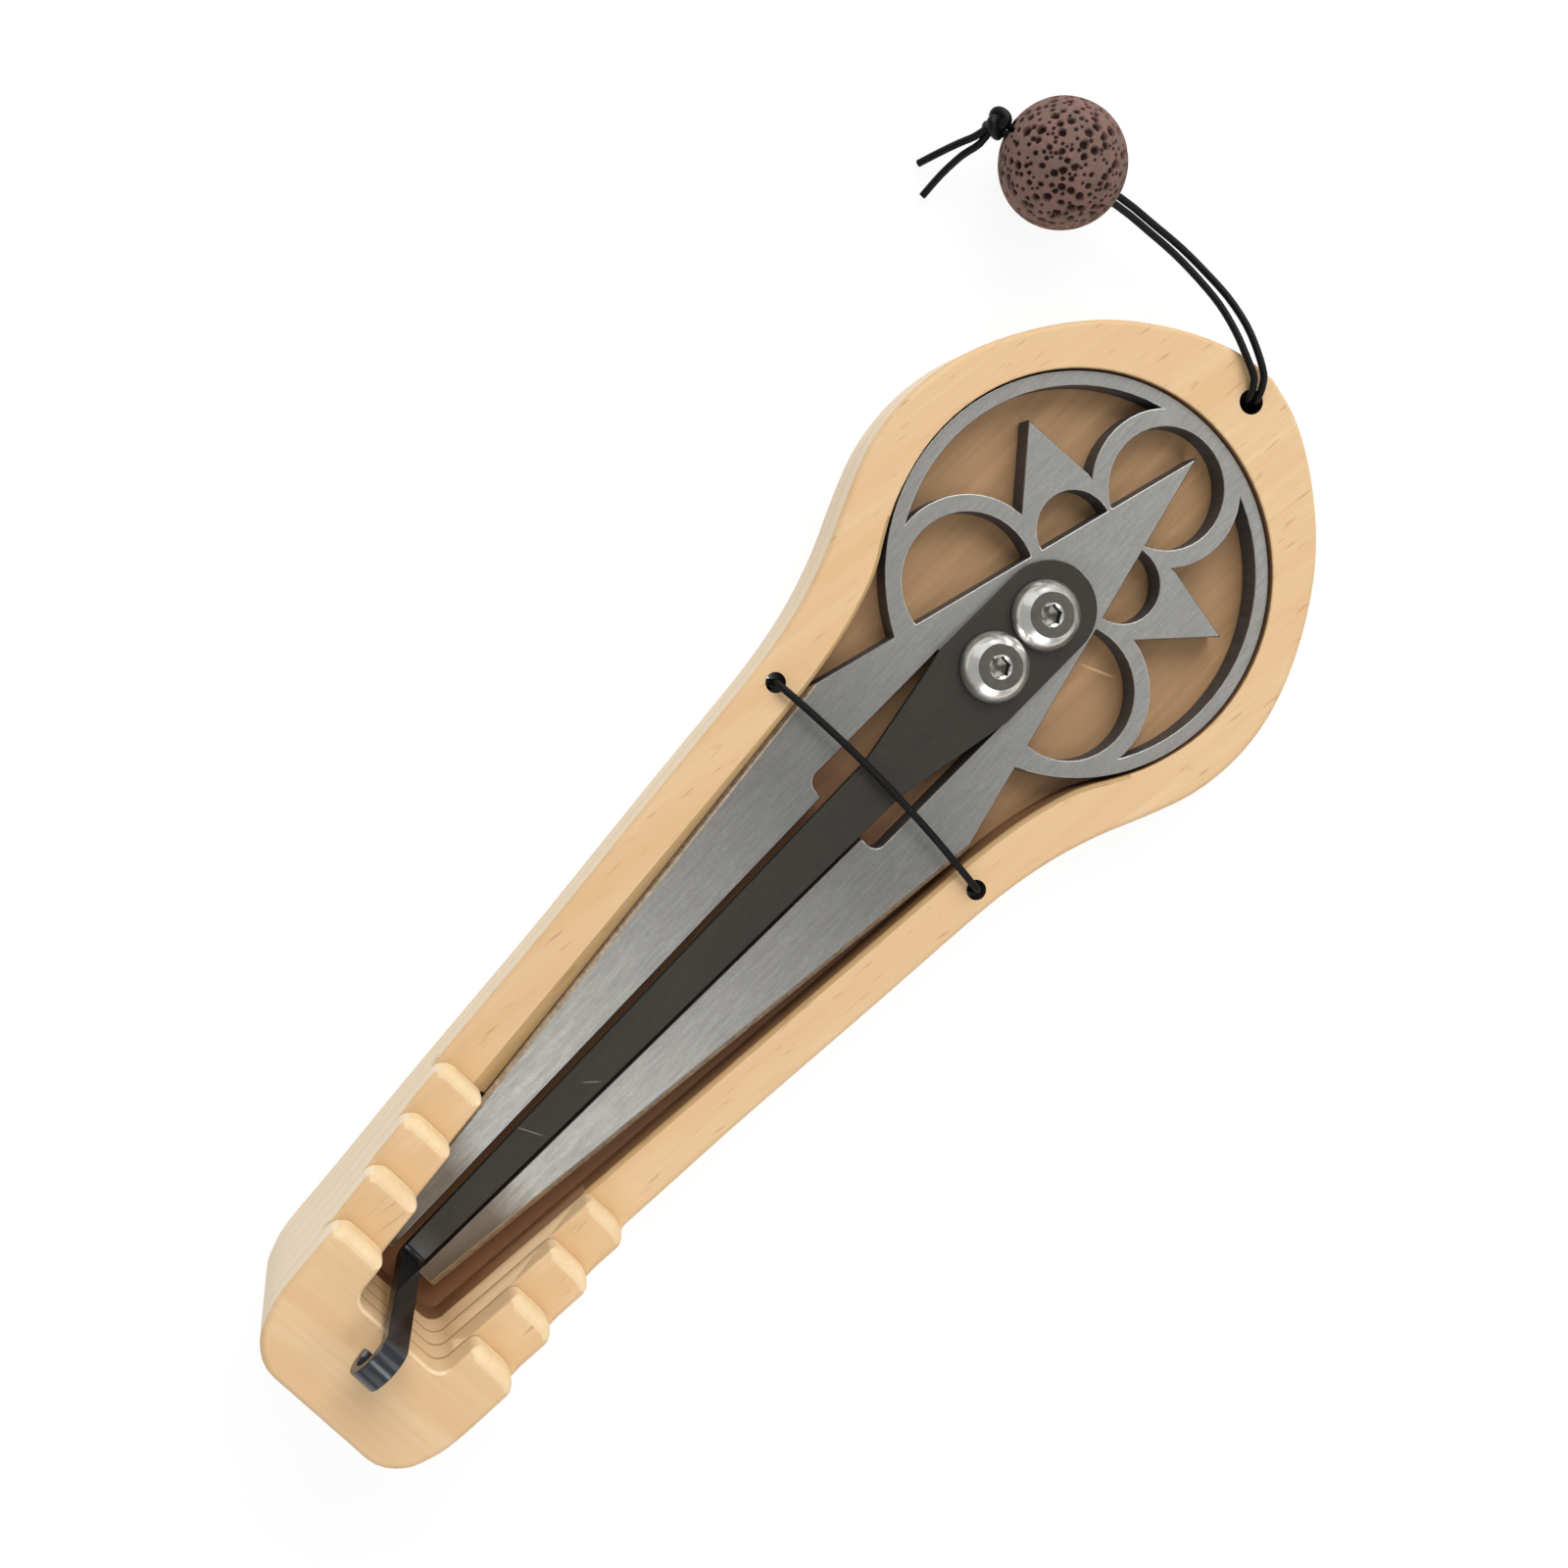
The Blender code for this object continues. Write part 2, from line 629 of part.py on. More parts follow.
# The bead turns on the strands, with its bore along them.
bore_axis = Vector((bore.x, bore.y, 0.0))
bead_place = Matrix.Translation(world(BEAD_CENTRE, BEAD_RADIUS * MM))
bead_place = bead_place @ bore_axis.to_track_quat("Z", "Y").to_matrix().to_4x4()
mouth = math.degrees(math.asin(BEAD_BORE_RADIUS / BEAD_RADIUS))
bead_profile = [(x, z) for x, z in arc((0, 0), BEAD_RADIUS, 90 - mouth, mouth - 90, 24)]
bead = lathe("bead", bead_profile, bead_place, LAVA, 40, True)
round_shade(bead)
move_origin(bead, world(BEAD_CENTRE, BEAD_RADIUS * MM))

# The end knot and the two tails.
knot_spot = leave + bore * (END_KNOT_GAP + END_KNOT_HALF)
knot_profile = [
    (END_KNOT_RADIUS * 0.4, -END_KNOT_HALF),
    (END_KNOT_RADIUS * 0.9, -END_KNOT_HALF * 0.7),
    (END_KNOT_RADIUS, 0.0),
    (END_KNOT_RADIUS * 0.9, END_KNOT_HALF * 0.7),
    (END_KNOT_RADIUS * 0.4, END_KNOT_HALF),
]
knot_place = Matrix.Translation(world(knot_spot, bore_z * MM))
knot_place = knot_place @ bore_axis.to_track_quat("Z", "Y").to_matrix().to_4x4()
end_knot = lathe("lanyard_knot", knot_profile, knot_place, BLACK_CORD, 16)
round_shade(end_knot)
tail_low = CORD_RADIUS + 0.1
for hand, tail_route in (
    ("left", [(-30.5, 17.95, 4.1), (-30.92, 17.06, 3.3), (-31.43, 15.9, 1.9), (-31.97, 14.45, tail_low)]),
    ("right", [(-29.82, 17.95, 3.9), (-30.1, 16.57, 3.0), (-30.13, 14.84, 1.6), (-29.92, 12.89, tail_low)]),
):
    points = [world(spot, spot[2] * MM) for spot in smooth(tail_route, 3)]
    tube("lanyard_tail_" + hand, points, CORD_RADIUS, BLACK_CORD)
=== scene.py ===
"""Looks for the jaw harp in its wooden case, built on the frame of its CAD model.

The file is laid out as an add-on: the settings hold sizes and colours, each operator dresses one
group of pieces, and the panel lists them. Lengths are in metres in the row frame. The harp's axis is
Y with its head towards +Y, and +Z is up out of the case.
"""

import math
import random

import bmesh
import bpy
from bpy.props import FloatProperty, FloatVectorProperty, IntProperty, PointerProperty
from bpy.types import Operator, Panel, PropertyGroup
from mathutils import Matrix, Vector, kdtree, noise


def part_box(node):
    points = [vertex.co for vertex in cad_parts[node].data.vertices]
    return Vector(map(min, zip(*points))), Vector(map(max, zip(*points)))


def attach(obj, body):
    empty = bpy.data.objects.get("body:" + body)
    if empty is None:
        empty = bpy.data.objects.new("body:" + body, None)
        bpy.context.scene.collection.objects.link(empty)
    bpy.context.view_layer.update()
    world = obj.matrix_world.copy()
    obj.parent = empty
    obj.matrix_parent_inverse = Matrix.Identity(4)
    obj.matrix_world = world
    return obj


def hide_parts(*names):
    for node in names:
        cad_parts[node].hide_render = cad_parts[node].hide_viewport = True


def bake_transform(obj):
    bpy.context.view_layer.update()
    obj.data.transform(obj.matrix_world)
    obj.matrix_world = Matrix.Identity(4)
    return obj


bl_info = {
    "name": "Jaw Harp Looks",
    "version": (1, 0, 0),
    "blender": (4, 5, 0),
    "location": "View3D > Sidebar > Jaw Harp",
    "description": "Dresses the jaw harp, its laminated case and its lanyard",
    "category": "Object",
}

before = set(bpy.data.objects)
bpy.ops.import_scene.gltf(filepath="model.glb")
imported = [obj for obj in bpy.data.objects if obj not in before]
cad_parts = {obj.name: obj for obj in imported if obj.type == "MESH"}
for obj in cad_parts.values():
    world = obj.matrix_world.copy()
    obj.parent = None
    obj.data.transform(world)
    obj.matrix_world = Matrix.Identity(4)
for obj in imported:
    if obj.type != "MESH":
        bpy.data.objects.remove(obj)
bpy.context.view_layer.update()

MM = 0.001
RING_Y = 0.0308
SHEET = 3.0 * MM
GLUE_LINE = 0.1 * MM
SHEETS = ["case_base", "case_pocket", "case_step_1", "case_step_2", "case_step_3", "case_step_4"]
HARP_AXIS = (Vector((0, RING_Y, 0)), Vector((0, -0.0442, 0)))

# The doubled cord's middle line, from the stop knot over the case's head and through the bead, with
# the distance between its two strands. Hole run is the direction in which it leaves its hole.
CORD_ROUTE = [
    (0.0, 0.0508, 0.0024, 0.0007),
    (0.0, 0.0508, 0.0046, 0.0007),
    (0.0, 0.05085, 0.00535, 0.0007),
    (-0.00008, 0.05098, 0.00598, 0.0007),
    (-0.00036, 0.05135, 0.00643, 0.0007),
    (-0.00073, 0.05185, 0.0066, 0.0008),
    (-0.00131, 0.05248, 0.0066, 0.0009),
    (-0.00295, 0.05332, 0.00642, 0.00105),
    (-0.00495, 0.05419, 0.0060, 0.00108),
    (-0.00737, 0.05483, 0.00545, 0.00095),
    (-0.01001, 0.05503, 0.0050, 0.00082),
    (-0.01272, 0.05496, 0.00475, 0.00076),
    (-0.01548, 0.05458, 0.00465, 0.0007),
    (-0.01891, 0.05391, 0.00475, 0.0007),
    (-0.02422, 0.05229, 0.00475, 0.0007),
    (-0.02906, 0.05081, 0.00475, 0.0007),
]
HOLE_RUN = Vector((-0.59, 0.8074))
KNOT_SPOT = (-0.03003, 0.05052, 0.00475)
TAILS = {
    "left": [
        (-0.0305, 0.04875, 0.0041),
        (-0.03092, 0.04786, 0.0033),
        (-0.03143, 0.0467, 0.0019),
        (-0.03197, 0.04525, 0.0004),
    ],
    "right": [
        (-0.02982, 0.04875, 0.0039),
        (-0.0301, 0.04737, 0.003),
        (-0.03013, 0.04564, 0.0016),
        (-0.02992, 0.04369, 0.0004),
    ],
}
BEAD_SPOT = Vector((-0.02422, 0.05229, 0.00515))
BORE = Vector((-0.956305, -0.292372, 0.0))
ELASTIC_Y = 0.0070
HOLE_REACH = 1.3 * MM
HOLES = [(-0.0116, ELASTIC_Y), (0.0116, ELASTIC_Y), (0.0, 0.0508)]

# The grain's turn in degrees, and where along Y the pocket's floor darkens with painted shade.
GRAIN_TURN = 8.0
TRENCH_SHADE = (0.014, 0.004)

# Where along Y the wear of the left leg's mouth begins and is full, and how its wall leans to the arm.
LEG_WEAR = (0.006, 0.001)
LEG_LEAN = 0.0095

# The pocket's wall around the ring lies in this range from the ring's middle. It is drawn closer, and
# its mouth keeps a share of its round-over.
RING_WALL = (16.4 * MM, 16.95 * MM)
RING_CLOSER = 0.18 * MM
RING_MOUTH = 0.4

# The reed bends from its root to the bend of its trigger, and cuts across it let it do so.
REED_ROOT = 0.0181
REED_BEND = -0.0432
REED_CUTS = 24

# Pale scratches, each by its two ends in the plan.
FLOOR_SCRATCH = ((0.0055, 0.0264), (0.0087, 0.0279))
REED_SCRATCHES = (
    ((-0.0022, -0.0312), (0.0004, -0.03)),
    ((-0.0007, -0.0253), (0.0005, -0.0241)),
)

# A screw head's radii and heights in millimetres, from its underside over its dome and down its socket,
# which is then cut to flats. Its flat top is at height 0.
SOCKET_RADIUS = 0.82
SOCKET_FLAT = 0.74
SCREW_HEAD = (
    (1.5, -1.65),
    (2.75, -1.65),
    (2.85, -1.55),
    (2.85, -1.35),
    (2.78, -1.1),
    (2.62, -0.79),
    (2.4, -0.5),
    (2.15, -0.26),
    (1.9, -0.08),
    (1.82, 0.0),
    (0.97, 0.0),
    (0.88, -0.08),
    (SOCKET_RADIUS, -0.16),
    (SOCKET_RADIUS, -1.0),
    (0.45, -1.08),
    (0.0, -1.2),
)

# Where each look of the case stands in its list. Tops are those of the sheets' upper faces, with one
# tread in front of each step, which darkens with painted shade towards that step's foot.
FACE, WALL, EDGE_HIGHLIGHT, INSIDE, POCKET, FRONT_HIGHLIGHT, FLOOR, HOLE, CROSS, MOUTH_SHADE = range(10)
TREADS = (10, 11, 12, 13)
HALF_HIGHLIGHT = 14
TOPS = (FLOOR, *TREADS, CROSS)

# The same for the looks of the harp's frame.
PLATE, CUT, CHAMFER_REFLECTION, WORN_HIGHLIGHT = range(4)

# Points closer than this are joined, and points this close to a height count as level with it.
WELD = 1e-6
LEVEL = 2e-6

# The camera, fitted to the photograph of 1600 by 1600 pixels.
CAMERA_SPOT = (-0.036638, -0.015837, 0.160214)
CAMERA_RIGHT = (0.6859635, 0.694159, 0.2181679)
CAMERA_UP = (-0.7006772, 0.7110166, -0.0592183)
CAMERA_BACK = (-0.1962279, -0.1122436, 0.9741129)
CAMERA_LENS = 46.917


def tint(red, green, blue):
    """A colour as seen on screen, 0 to 255, as the linear values that sockets take."""
    return tuple(((value / 255 + 0.055) / 1.055) ** 2.4 for value in (red, green, blue))


def colour(name, words, default):
    """A colour that the user can set."""
    return FloatVectorProperty(name=name, description=words, subtype="COLOR", min=0, max=1, default=default)


def length(name, words, default):
    """A length that the user can set."""
    options = {"subtype": "DISTANCE", "unit": "LENGTH", "min": 0, "default": default}
    return FloatProperty(name=name, description=words, **options)


def light_share(name, words, default):
    """A share of the stage's light that the user can set."""
    return FloatProperty(name=name, description="Share of the light " + words, default=default, min=0)


class WoodSettings(PropertyGroup):
    deck: colour("Deck", "Pale face of the wood sheets", tint(238, 205, 160))
    grain: colour("Grain", "Darker streaks of the grain", tint(230, 190, 140))
    fleck: colour("Fleck", "Short dark marks along the grain", tint(176, 128, 76))
    wall: colour("Outer wall", "Sanded edge of the sheets", tint(247, 226, 194))
    # Painted highlight: this paler colour goes on the steps' round-overs and fronts that face the light.
    eased: colour("Eased edge", "Sanded round-overs", tint(248, 224, 178))
    inner: colour("Inner wall", "Cut wall around the trigger", tint(238, 206, 162))
    # Painted shade: the darker tan of the mouth's round-over, which faces away from the light.
    mouth: colour("Mouth", "Eased edge of the pocket's mouth", tint(204, 166, 114))
    # Painted shade: this darker tone stands in for the shadow at the foot of each step's front.
    foot: colour("Foot", "Darker wood at the foot of each step's front", tint(224, 186, 138))
    pocket: colour("Pocket wall", "Cut wall of the pocket around the harp", tint(150, 108, 72))
    # Painted shade: the pocket's floor beside the arms darkens to this colour, where it lies in shade.
    trench_shade: colour("Trench", "Floor of the pocket beside the arms", tint(160, 114, 80))
    hole: colour("Hole", "Burnt wall of the cord holes", tint(52, 32, 22))
    floor: colour("Pocket floor", "Floor of the pocket under the harp", tint(200, 156, 110))
    glue: colour("Glue line", "Line between two sheets", tint(138, 106, 66))
    edge_radius: length("Edge radius", "Round-over of the outer edges", 0.5 * MM)
    step_radius: length("Step radius", "Round-over of the steps' fronts", 1.2 * MM)
    inner_radius: length("Inner radius", "Round-over around the trigger", 0.3 * MM)
    pocket_radius: length("Pocket radius", "Round-over of the pocket's mouth", 0.35 * MM)
    leg_radius: length("Leg radius", "Worn round-over of the mouth along the left leg", 0.95 * MM)
    hole_radius: length("Hole radius", "Round-over of the cord holes", 0.15 * MM)


class SteelSettings(PropertyGroup):
    plate: colour("Plate", "Brushed face of the harp's frame", tint(137, 136, 132))
    cut: colour("Cut edge", "Dark cut wall of the frame", tint(100, 102, 108))
    reed: colour("Reed", "Dark oxide on the reed", tint(63, 60, 54))
    # Partly bare steel from wear, partly a painted highlight: the frame's broken edges are made lighter.
    edge: colour("Worn edge", "Broken edges of the frame", tint(176, 175, 170))
    # Painted reflection and shade: the brown at the arms' ends stands in for reflected wood and its shade.
    painted_wood_reflection: colour("Stain", "Brown stain at the ends of the arms", tint(102, 90, 74))
    trigger: colour("Trigger", "Blackened trigger of the reed", tint(38, 39, 42))
    screw: colour("Screw", "Polished screw heads", tint(250, 249, 245))
    # Painted reflection and shade: darker for the dark room the flat tops reflect, and in the sockets.
    screw_top_shade: colour("Screw top", "Flat top of the screw heads", tint(122, 120, 113))
    edge_radius: length("Edge radius", "Broken edge of the frame", 0.12 * MM)
    # Painted reflection: the warm colour of the arms' chamfers stands in for the lit wood they reflect.
    painted_chamfer_reflection: colour("Chamfer", "Warm chamfer along the arms", tint(210, 190, 162))
    arm_chamfer: length("Arm chamfer", "Chamfer along the arms' outer edges", 0.4 * MM)
    reed_edge: length("Reed edge", "Broken edge of the reed", 0.09 * MM)


class CordSettings(PropertyGroup):
    cord: colour("Cord", "Waxed lanyard cord", tint(9, 9, 9))
    elastic: colour("Elastic", "Elastic across the harp", tint(9, 9, 9))
    cord_radius: length("Cord radius", "Half the lanyard cord's thickness", 0.3 * MM)
    elastic_radius: length("Elastic radius", "Half the elastic's thickness", 0.3 * MM)
    knot_radius: length("Knot radius", "Half the thickness of the cord in the knots", 0.45 * MM)


class BeadSettings(PropertyGroup):
    stone: colour("Stone", "Mauve body of the bead", tint(138, 110, 100))
    # Painted shade: the pores' dark inside stands in for the shade in these hollows.
    pore_shade: colour("Pore", "Dark inside of the pores", tint(46, 22, 16))
    radius: length("Radius", "Half the bead's diameter", 5.15 * MM)
    bore: length("Bore radius", "Half the bead's bore", 0.95 * MM)
    pores: IntProperty(name="Pores", description="Number of pores", default=560, min=0, max=2000)


class StageSettings(PropertyGroup):
    floor: colour("Floor", "Pale floor under the case", (0.9, 0.9, 0.9))
    sky: light_share("Sky", "that comes evenly from all sides", 0.34)
    key: light_share("Key", "from the window side", 0.47)
    top: light_share("Top", "from above the tip", 0.08)
    back: light_share("Back", "from behind the ring", 0.07)
    side: light_share("Side", "from the left", 0.02)
    front: light_share("Front", "from the tip's end", 0.1)


class JawHarpSettings(PropertyGroup):
    wood: PointerProperty(type=WoodSettings)
    steel: PointerProperty(type=SteelSettings)
    cords: PointerProperty(type=CordSettings)
    bead: PointerProperty(type=BeadSettings)
    stage: PointerProperty(type=StageSettings)


def unit(value):
    """A value kept between 0 and 1."""
    return min(max(value, 0), 1)


def scaled(tone, factor):
    """A colour made lighter or darker by a factor."""
    return tuple(value * factor for value in tone)


def plug(tree, socket, value):
    """Links a socket to another node's output, or sets it to a number, vector or colour."""
    if isinstance(value, bpy.types.NodeSocket):
        tree.links.new(value, socket)
    elif socket.type == "RGBA":
        socket.default_value = (*value[:3], 1.0)
    else:
        socket.default_value = value


def grow(tree, kind, sockets=None, **options):
    """Adds a node with its options, and plugs what is given into its sockets."""
    made = tree.nodes.new(kind)
    for name, value in options.items():
        setattr(made, name, value)
    for name, value in (sockets or {}).items():
        plug(tree, made.inputs[name], value)
    return made


def new_look(name, rough, metal=0.0):
    """A material with its tree, its shader and the object's own coordinates."""
    made = bpy.data.materials.new(name)
    made.use_nodes = True
    tree = made.node_tree
    shader = tree.nodes["Principled BSDF"]
    shader.inputs["Roughness"].default_value = rough
    shader.inputs["Metallic"].default_value = metal
    spot = grow(tree, "ShaderNodeTexCoord").outputs["Object"]
    return made, tree, shader, spot


def clouds(tree, spot, scale, detail, rough):
    """Noise on coordinates stretched by scale, in cells per metre along each axis."""
    place = grow(tree, "ShaderNodeMapping", {"Vector": spot, "Scale": scale})
    sockets = {"Vector": place.outputs[0], "Scale": 1.0, "Detail": detail, "Roughness": rough}
    return grow(tree, "ShaderNodeTexNoise", sockets).outputs[0]


def ramp(tree, value, low, high, start=0.0, end=1.0):
    """A value stretched from the range low to high, to start to end."""
    sockets = {"Value": value, "From Min": low, "From Max": high, "To Min": start, "To Max": end}
    return grow(tree, "ShaderNodeMapRange", sockets).outputs[0]


def mix(tree, share, first, second, blend="MIX"):
    """Two colours mixed by a share."""
    sockets = {0: share, 6: first, 7: second}
    return grow(tree, "ShaderNodeMix", sockets, data_type="RGBA", blend_type=blend).outputs[2]


def math_node(tree, action, first, second=0.0):
    """A sum, product or the like of two values."""
    return grow(tree, "ShaderNodeMath", {0: first, 1: second}, operation=action).outputs[0]


def split(tree, spot):
    """The x, y and z of a place."""
    return grow(tree, "ShaderNodeSeparateXYZ", {"Vector": spot}).outputs


def scratch(tree, spot, start, end, wide):
    """A share that is 1 along a straight scratch between two spots of the plan and 0 away from it."""
    run = Vector(end) - Vector(start)
    middle = (Vector(start) + Vector(end)) / 2
    sockets = {
        "Vector": spot,
        "Location": (*middle, 0),
        "Rotation": (0, 0, math.atan2(run.y, run.x)),
        "Scale": (run.length / 2, wide / 2, 1),
    }
    place = grow(tree, "ShaderNodeMapping", sockets, vector_type="TEXTURE").outputs[0]
    shares = [ramp(tree, math_node(tree, "ABSOLUTE", part), 1.0, 0.4) for part in split(tree, place)[:2]]
    return math_node(tree, "MULTIPLY", *shares)


def paint(tree, shader, body, rough=None, bumps=None):
    """Gives a shader its colour, its roughness, and bumps by their height, depth and strength."""
    plug(tree, shader.inputs["Base Color"], body)
    if rough is not None:
        plug(tree, shader.inputs["Roughness"], rough)
    if bumps is not None:
        sockets = dict(zip(("Height", "Distance", "Strength"), bumps))
        plug(tree, shader.inputs["Normal"], grow(tree, "ShaderNodeBump", sockets).outputs[0])


def wood_look(name, pale, dark, fleck, turn=0.0, line=None, painted_shade=None, nick=None):
    """Wood with its grain along Y, or turned from it by some degrees.

    Line gives the glue's colour and share between sheets where it shows, the next one a painted shade's
    colour and the span of Y over which the wood darkens to it. Nick gives the two ends of a pale scratch.
    """
    made, tree, shader, spot = new_look(name, 0.58)
    turned = {"Vector": spot, "Rotation": (0, 0, math.radians(turn))}
    grain = grow(tree, "ShaderNodeMapping", turned).outputs[0]
    bands = clouds(tree, grain, (420, 14, 420), 3.0, 0.5)
    fibres = clouds(tree, grain, (2300, 90, 2300), 4.0, 0.65)
    dashes = clouds(tree, grain, (2700, 330, 2700), 1.0, 0.4)
    body = mix(tree, ramp(tree, bands, 0.35, 0.7), pale, dark)
    body = mix(tree, ramp(tree, fibres, 0.4, 0.7, 0.0, 0.75), body, dark)
    body = mix(tree, ramp(tree, dashes, 0.66, 0.78, 0.0, 0.45), body, fleck)
    parts = split(tree, spot)
    if line:
        glue, share = line
        layer = math_node(tree, "PINGPONG", math_node(tree, "ADD", parts[2], GLUE_LINE / 2), SHEET / 2)
        body = mix(tree, ramp(tree, layer, 0.2 * MM, 0.06 * MM, 0.0, share), body, glue)
    if painted_shade:
        tone, span = painted_shade
        body = mix(tree, ramp(tree, parts[1], *span), body, tone)
    if nick:
        bare = tuple(min(1.0, value * 1.35 + 0.05) for value in pale)
        body = mix(tree, scratch(tree, spot, *nick, 0.3 * MM), body, bare)
    paint(tree, shader, body, ramp(tree, fibres, 0.2, 0.8, 0.5, 0.68), (fibres, 0.03 * MM, 0.5))
    return made


def plate_look(name, face, painted_wood_reflection):
    """Brushed steel with specks and painted reflection: lighter at head and arms, browner at arm ends."""
    made, tree, shader, spot = new_look(name, 0.38, 0.6)
    brush = clouds(tree, spot, (4000, 420, 4000), 4.0, 0.7)
    specks = clouds(tree, spot, (5200, 2600, 5200), 3.0, 0.65)
    cloud = clouds(tree, spot, (180, 120, 180), 3.0, 0.5)
    dark = scaled(face, 0.76)
    painted_reflection_gain = (2.1, 2.1, 2.1)
    body = mix(tree, ramp(tree, brush, 0.32, 0.68), scaled(face, 1.14), dark)
    body = mix(tree, ramp(tree, specks, 0.42, 0.72, 0.0, 0.75), body, dark)
    body = mix(tree, ramp(tree, cloud, 0.3, 0.7, 0.0, 0.35), body, dark)
    along = split(tree, spot)[1]
    # Painted reflection: the head and the arms are made lighter along Y, as if reflecting more light.
    body = mix(tree, ramp(tree, along, 0.002, 0.022, 0.0, 0.48), body, painted_reflection_gain, "MULTIPLY")
    body = mix(tree, ramp(tree, along, 0.003, -0.024, 0.0, 0.85), body, painted_reflection_gain, "MULTIPLY")
    # Painted reflection and shade: the arms' ends turn brown, for the wood they reflect and its shade.
    body = mix(tree, ramp(tree, along, -0.0335, -0.0372, 0.0, 0.9), body, painted_wood_reflection)
    paint(tree, shader, body, ramp(tree, brush, 0.3, 0.7, 0.35, 0.42), (brush, 0.004 * MM, 0.25))
    return made


def cut_look(name, face):
    """The dark cut wall of the frame, with fine marks of the cut."""
    made, tree, shader, spot = new_look(name, 0.55, 0.55)
    marks = clouds(tree, spot, (3000, 3000, 300), 3.0, 0.6)
    body = mix(tree, ramp(tree, marks, 0.3, 0.7), scaled(face, 0.55), face)
    paint(tree, shader, body, ramp(tree, marks, 0.3, 0.7, 0.45, 0.65), (marks, 0.02 * MM, 0.6))
    return made


def reed_look(name, face, black):
    """Dark oxide on spring steel: satin, mottled and scratched, black and smoother at the trigger."""
    made, tree, shader, spot = new_look(name, 0.42, 0.6)
    cloud = clouds(tree, spot, (300, 90, 300), 4.0, 0.55)
    grit = clouds(tree, spot, (4200, 900, 4200), 3.0, 0.6)
    body = mix(tree, ramp(tree, cloud, 0.3, 0.7), scaled(face, 0.8), face)
    body = mix(tree, ramp(tree, grit, 0.4, 0.8, 0.0, 0.3), body, scaled(face, 1.5))
    for start, end in REED_SCRATCHES:
        body = mix(tree, scratch(tree, spot, start, end, 0.16 * MM), body, scaled(face, 3.5))
    parts = split(tree, spot)
    body = mix(tree, ramp(tree, parts[1], -0.0415, REED_BEND), body, black)
    # Painted highlight: the trigger's eye, above 18 mm, is made three times lighter than the black.
    body = mix(tree, ramp(tree, parts[2], 0.018, 0.0195), body, scaled(black, 3))
    rough = ramp(tree, parts[1], -0.0405, REED_BEND, 0.46, 0.2)
    paint(tree, shader, body, rough, (grit, 0.005 * MM, 0.5))
    return made


def bright_look(name, face, rough, metal=1.0):
    """Bright bare steel, for the screws and for the frame's edges, which also carry a painted highlight."""
    made, tree, shader, spot = new_look(name, rough, metal)
    marks = clouds(tree, spot, (1500, 1500, 1500), 2.0, 0.5)
    body = mix(tree, ramp(tree, marks, 0.3, 0.7), scaled(face, 0.92), face)
    paint(tree, shader, body, ramp(tree, marks, 0.3, 0.7, rough * 0.9, rough * 1.1))
    return made


def cord_look(name, face, rough):
    """Black cord with a fine grain and a soft shine."""
    made, tree, shader, spot = new_look(name, rough)
    shader.inputs["Specular IOR Level"].default_value = 0.22
    grain = clouds(tree, spot, (4200, 4200, 4200), 3.0, 0.6)
    body = mix(tree, ramp(tree, grain, 0.35, 0.8), face, scaled(face, 1.7))
    varied = ramp(tree, grain, 0.3, 0.7, rough * 0.85, rough * 1.2)
    paint(tree, shader, body, varied, (grain, 0.03 * MM, 0.6))
    return made


def stone_look(name, face, pore_shade):
    """Porous stone: mauve with browner and paler patches, and painted shade in pores from a mesh attribute.
    """
    made, tree, shader, spot = new_look(name, 0.85)
    patches = clouds(tree, spot, (420, 420, 420), 4.0, 0.6)
    grit = clouds(tree, spot, (3400, 3400, 3400), 4.0, 0.7)
    brown = (face[0] * 0.8, face[1] * 0.82, face[2] * 0.76)
    rosy = (face[0] * 1.08, face[1] * 0.92, face[2] * 0.96)
    body = mix(tree, ramp(tree, patches, 0.38, 0.62), brown, rosy)
    body = mix(tree, ramp(tree, grit, 0.35, 0.75, 0.0, 0.55), body, scaled(face, 0.5))
    depth = grow(tree, "ShaderNodeAttribute", attribute_name="pore_depth").outputs["Fac"]
    # Painted shade in the pores, darkest at their bottoms.
    body = mix(tree, ramp(tree, depth, 0.05, 0.5), body, pore_shade)
    paint(tree, shader, body, bumps=(grit, 0.08 * MM, 0.7))
    return made


def merged(node):
    """A bmesh copy of a CAD node, its loose triangles joined into flat faces."""
    shape = bmesh.new()
    shape.from_mesh(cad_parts[node].data)
    bmesh.ops.remove_doubles(shape, verts=shape.verts, dist=WELD)
    angle = math.radians(0.2)
    bmesh.ops.dissolve_limit(shape, angle_limit=angle, verts=shape.verts, edges=shape.edges)
    return shape


def cut_across(shape, y):
    """Cuts the faces of a shape along a plane across Y."""
    cut = shape.verts[:] + shape.edges[:] + shape.faces[:]
    bmesh.ops.bisect_plane(shape, geom=cut, dist=WELD / 10, plane_co=(0, y, 0), plane_no=(0, 1, 0))


def rim(shape, height, ahead=-1.0):
    """The sharp edges of a sheet's outline at a height, as far as y is above ahead."""
    found = []
    for edge in shape.edges:
        level = all(abs(vert.co.z - height) < LEVEL and vert.co.y > ahead for vert in edge.verts)
        if level and len(edge.link_faces) == 2 and edge.calc_face_angle() > math.radians(45):
            found.append(edge)
    return found


def ease(shape, edges, radius, segments=3, clamp=True):
    """Rounds edges over."""
    bmesh.ops.bevel(
        shape,
        geom=edges,
        offset=radius,
        offset_type="OFFSET",
        segments=segments,
        profile=0.5,
        affect="EDGES",
        clamp_overlap=clamp,
        material=-1,
    )


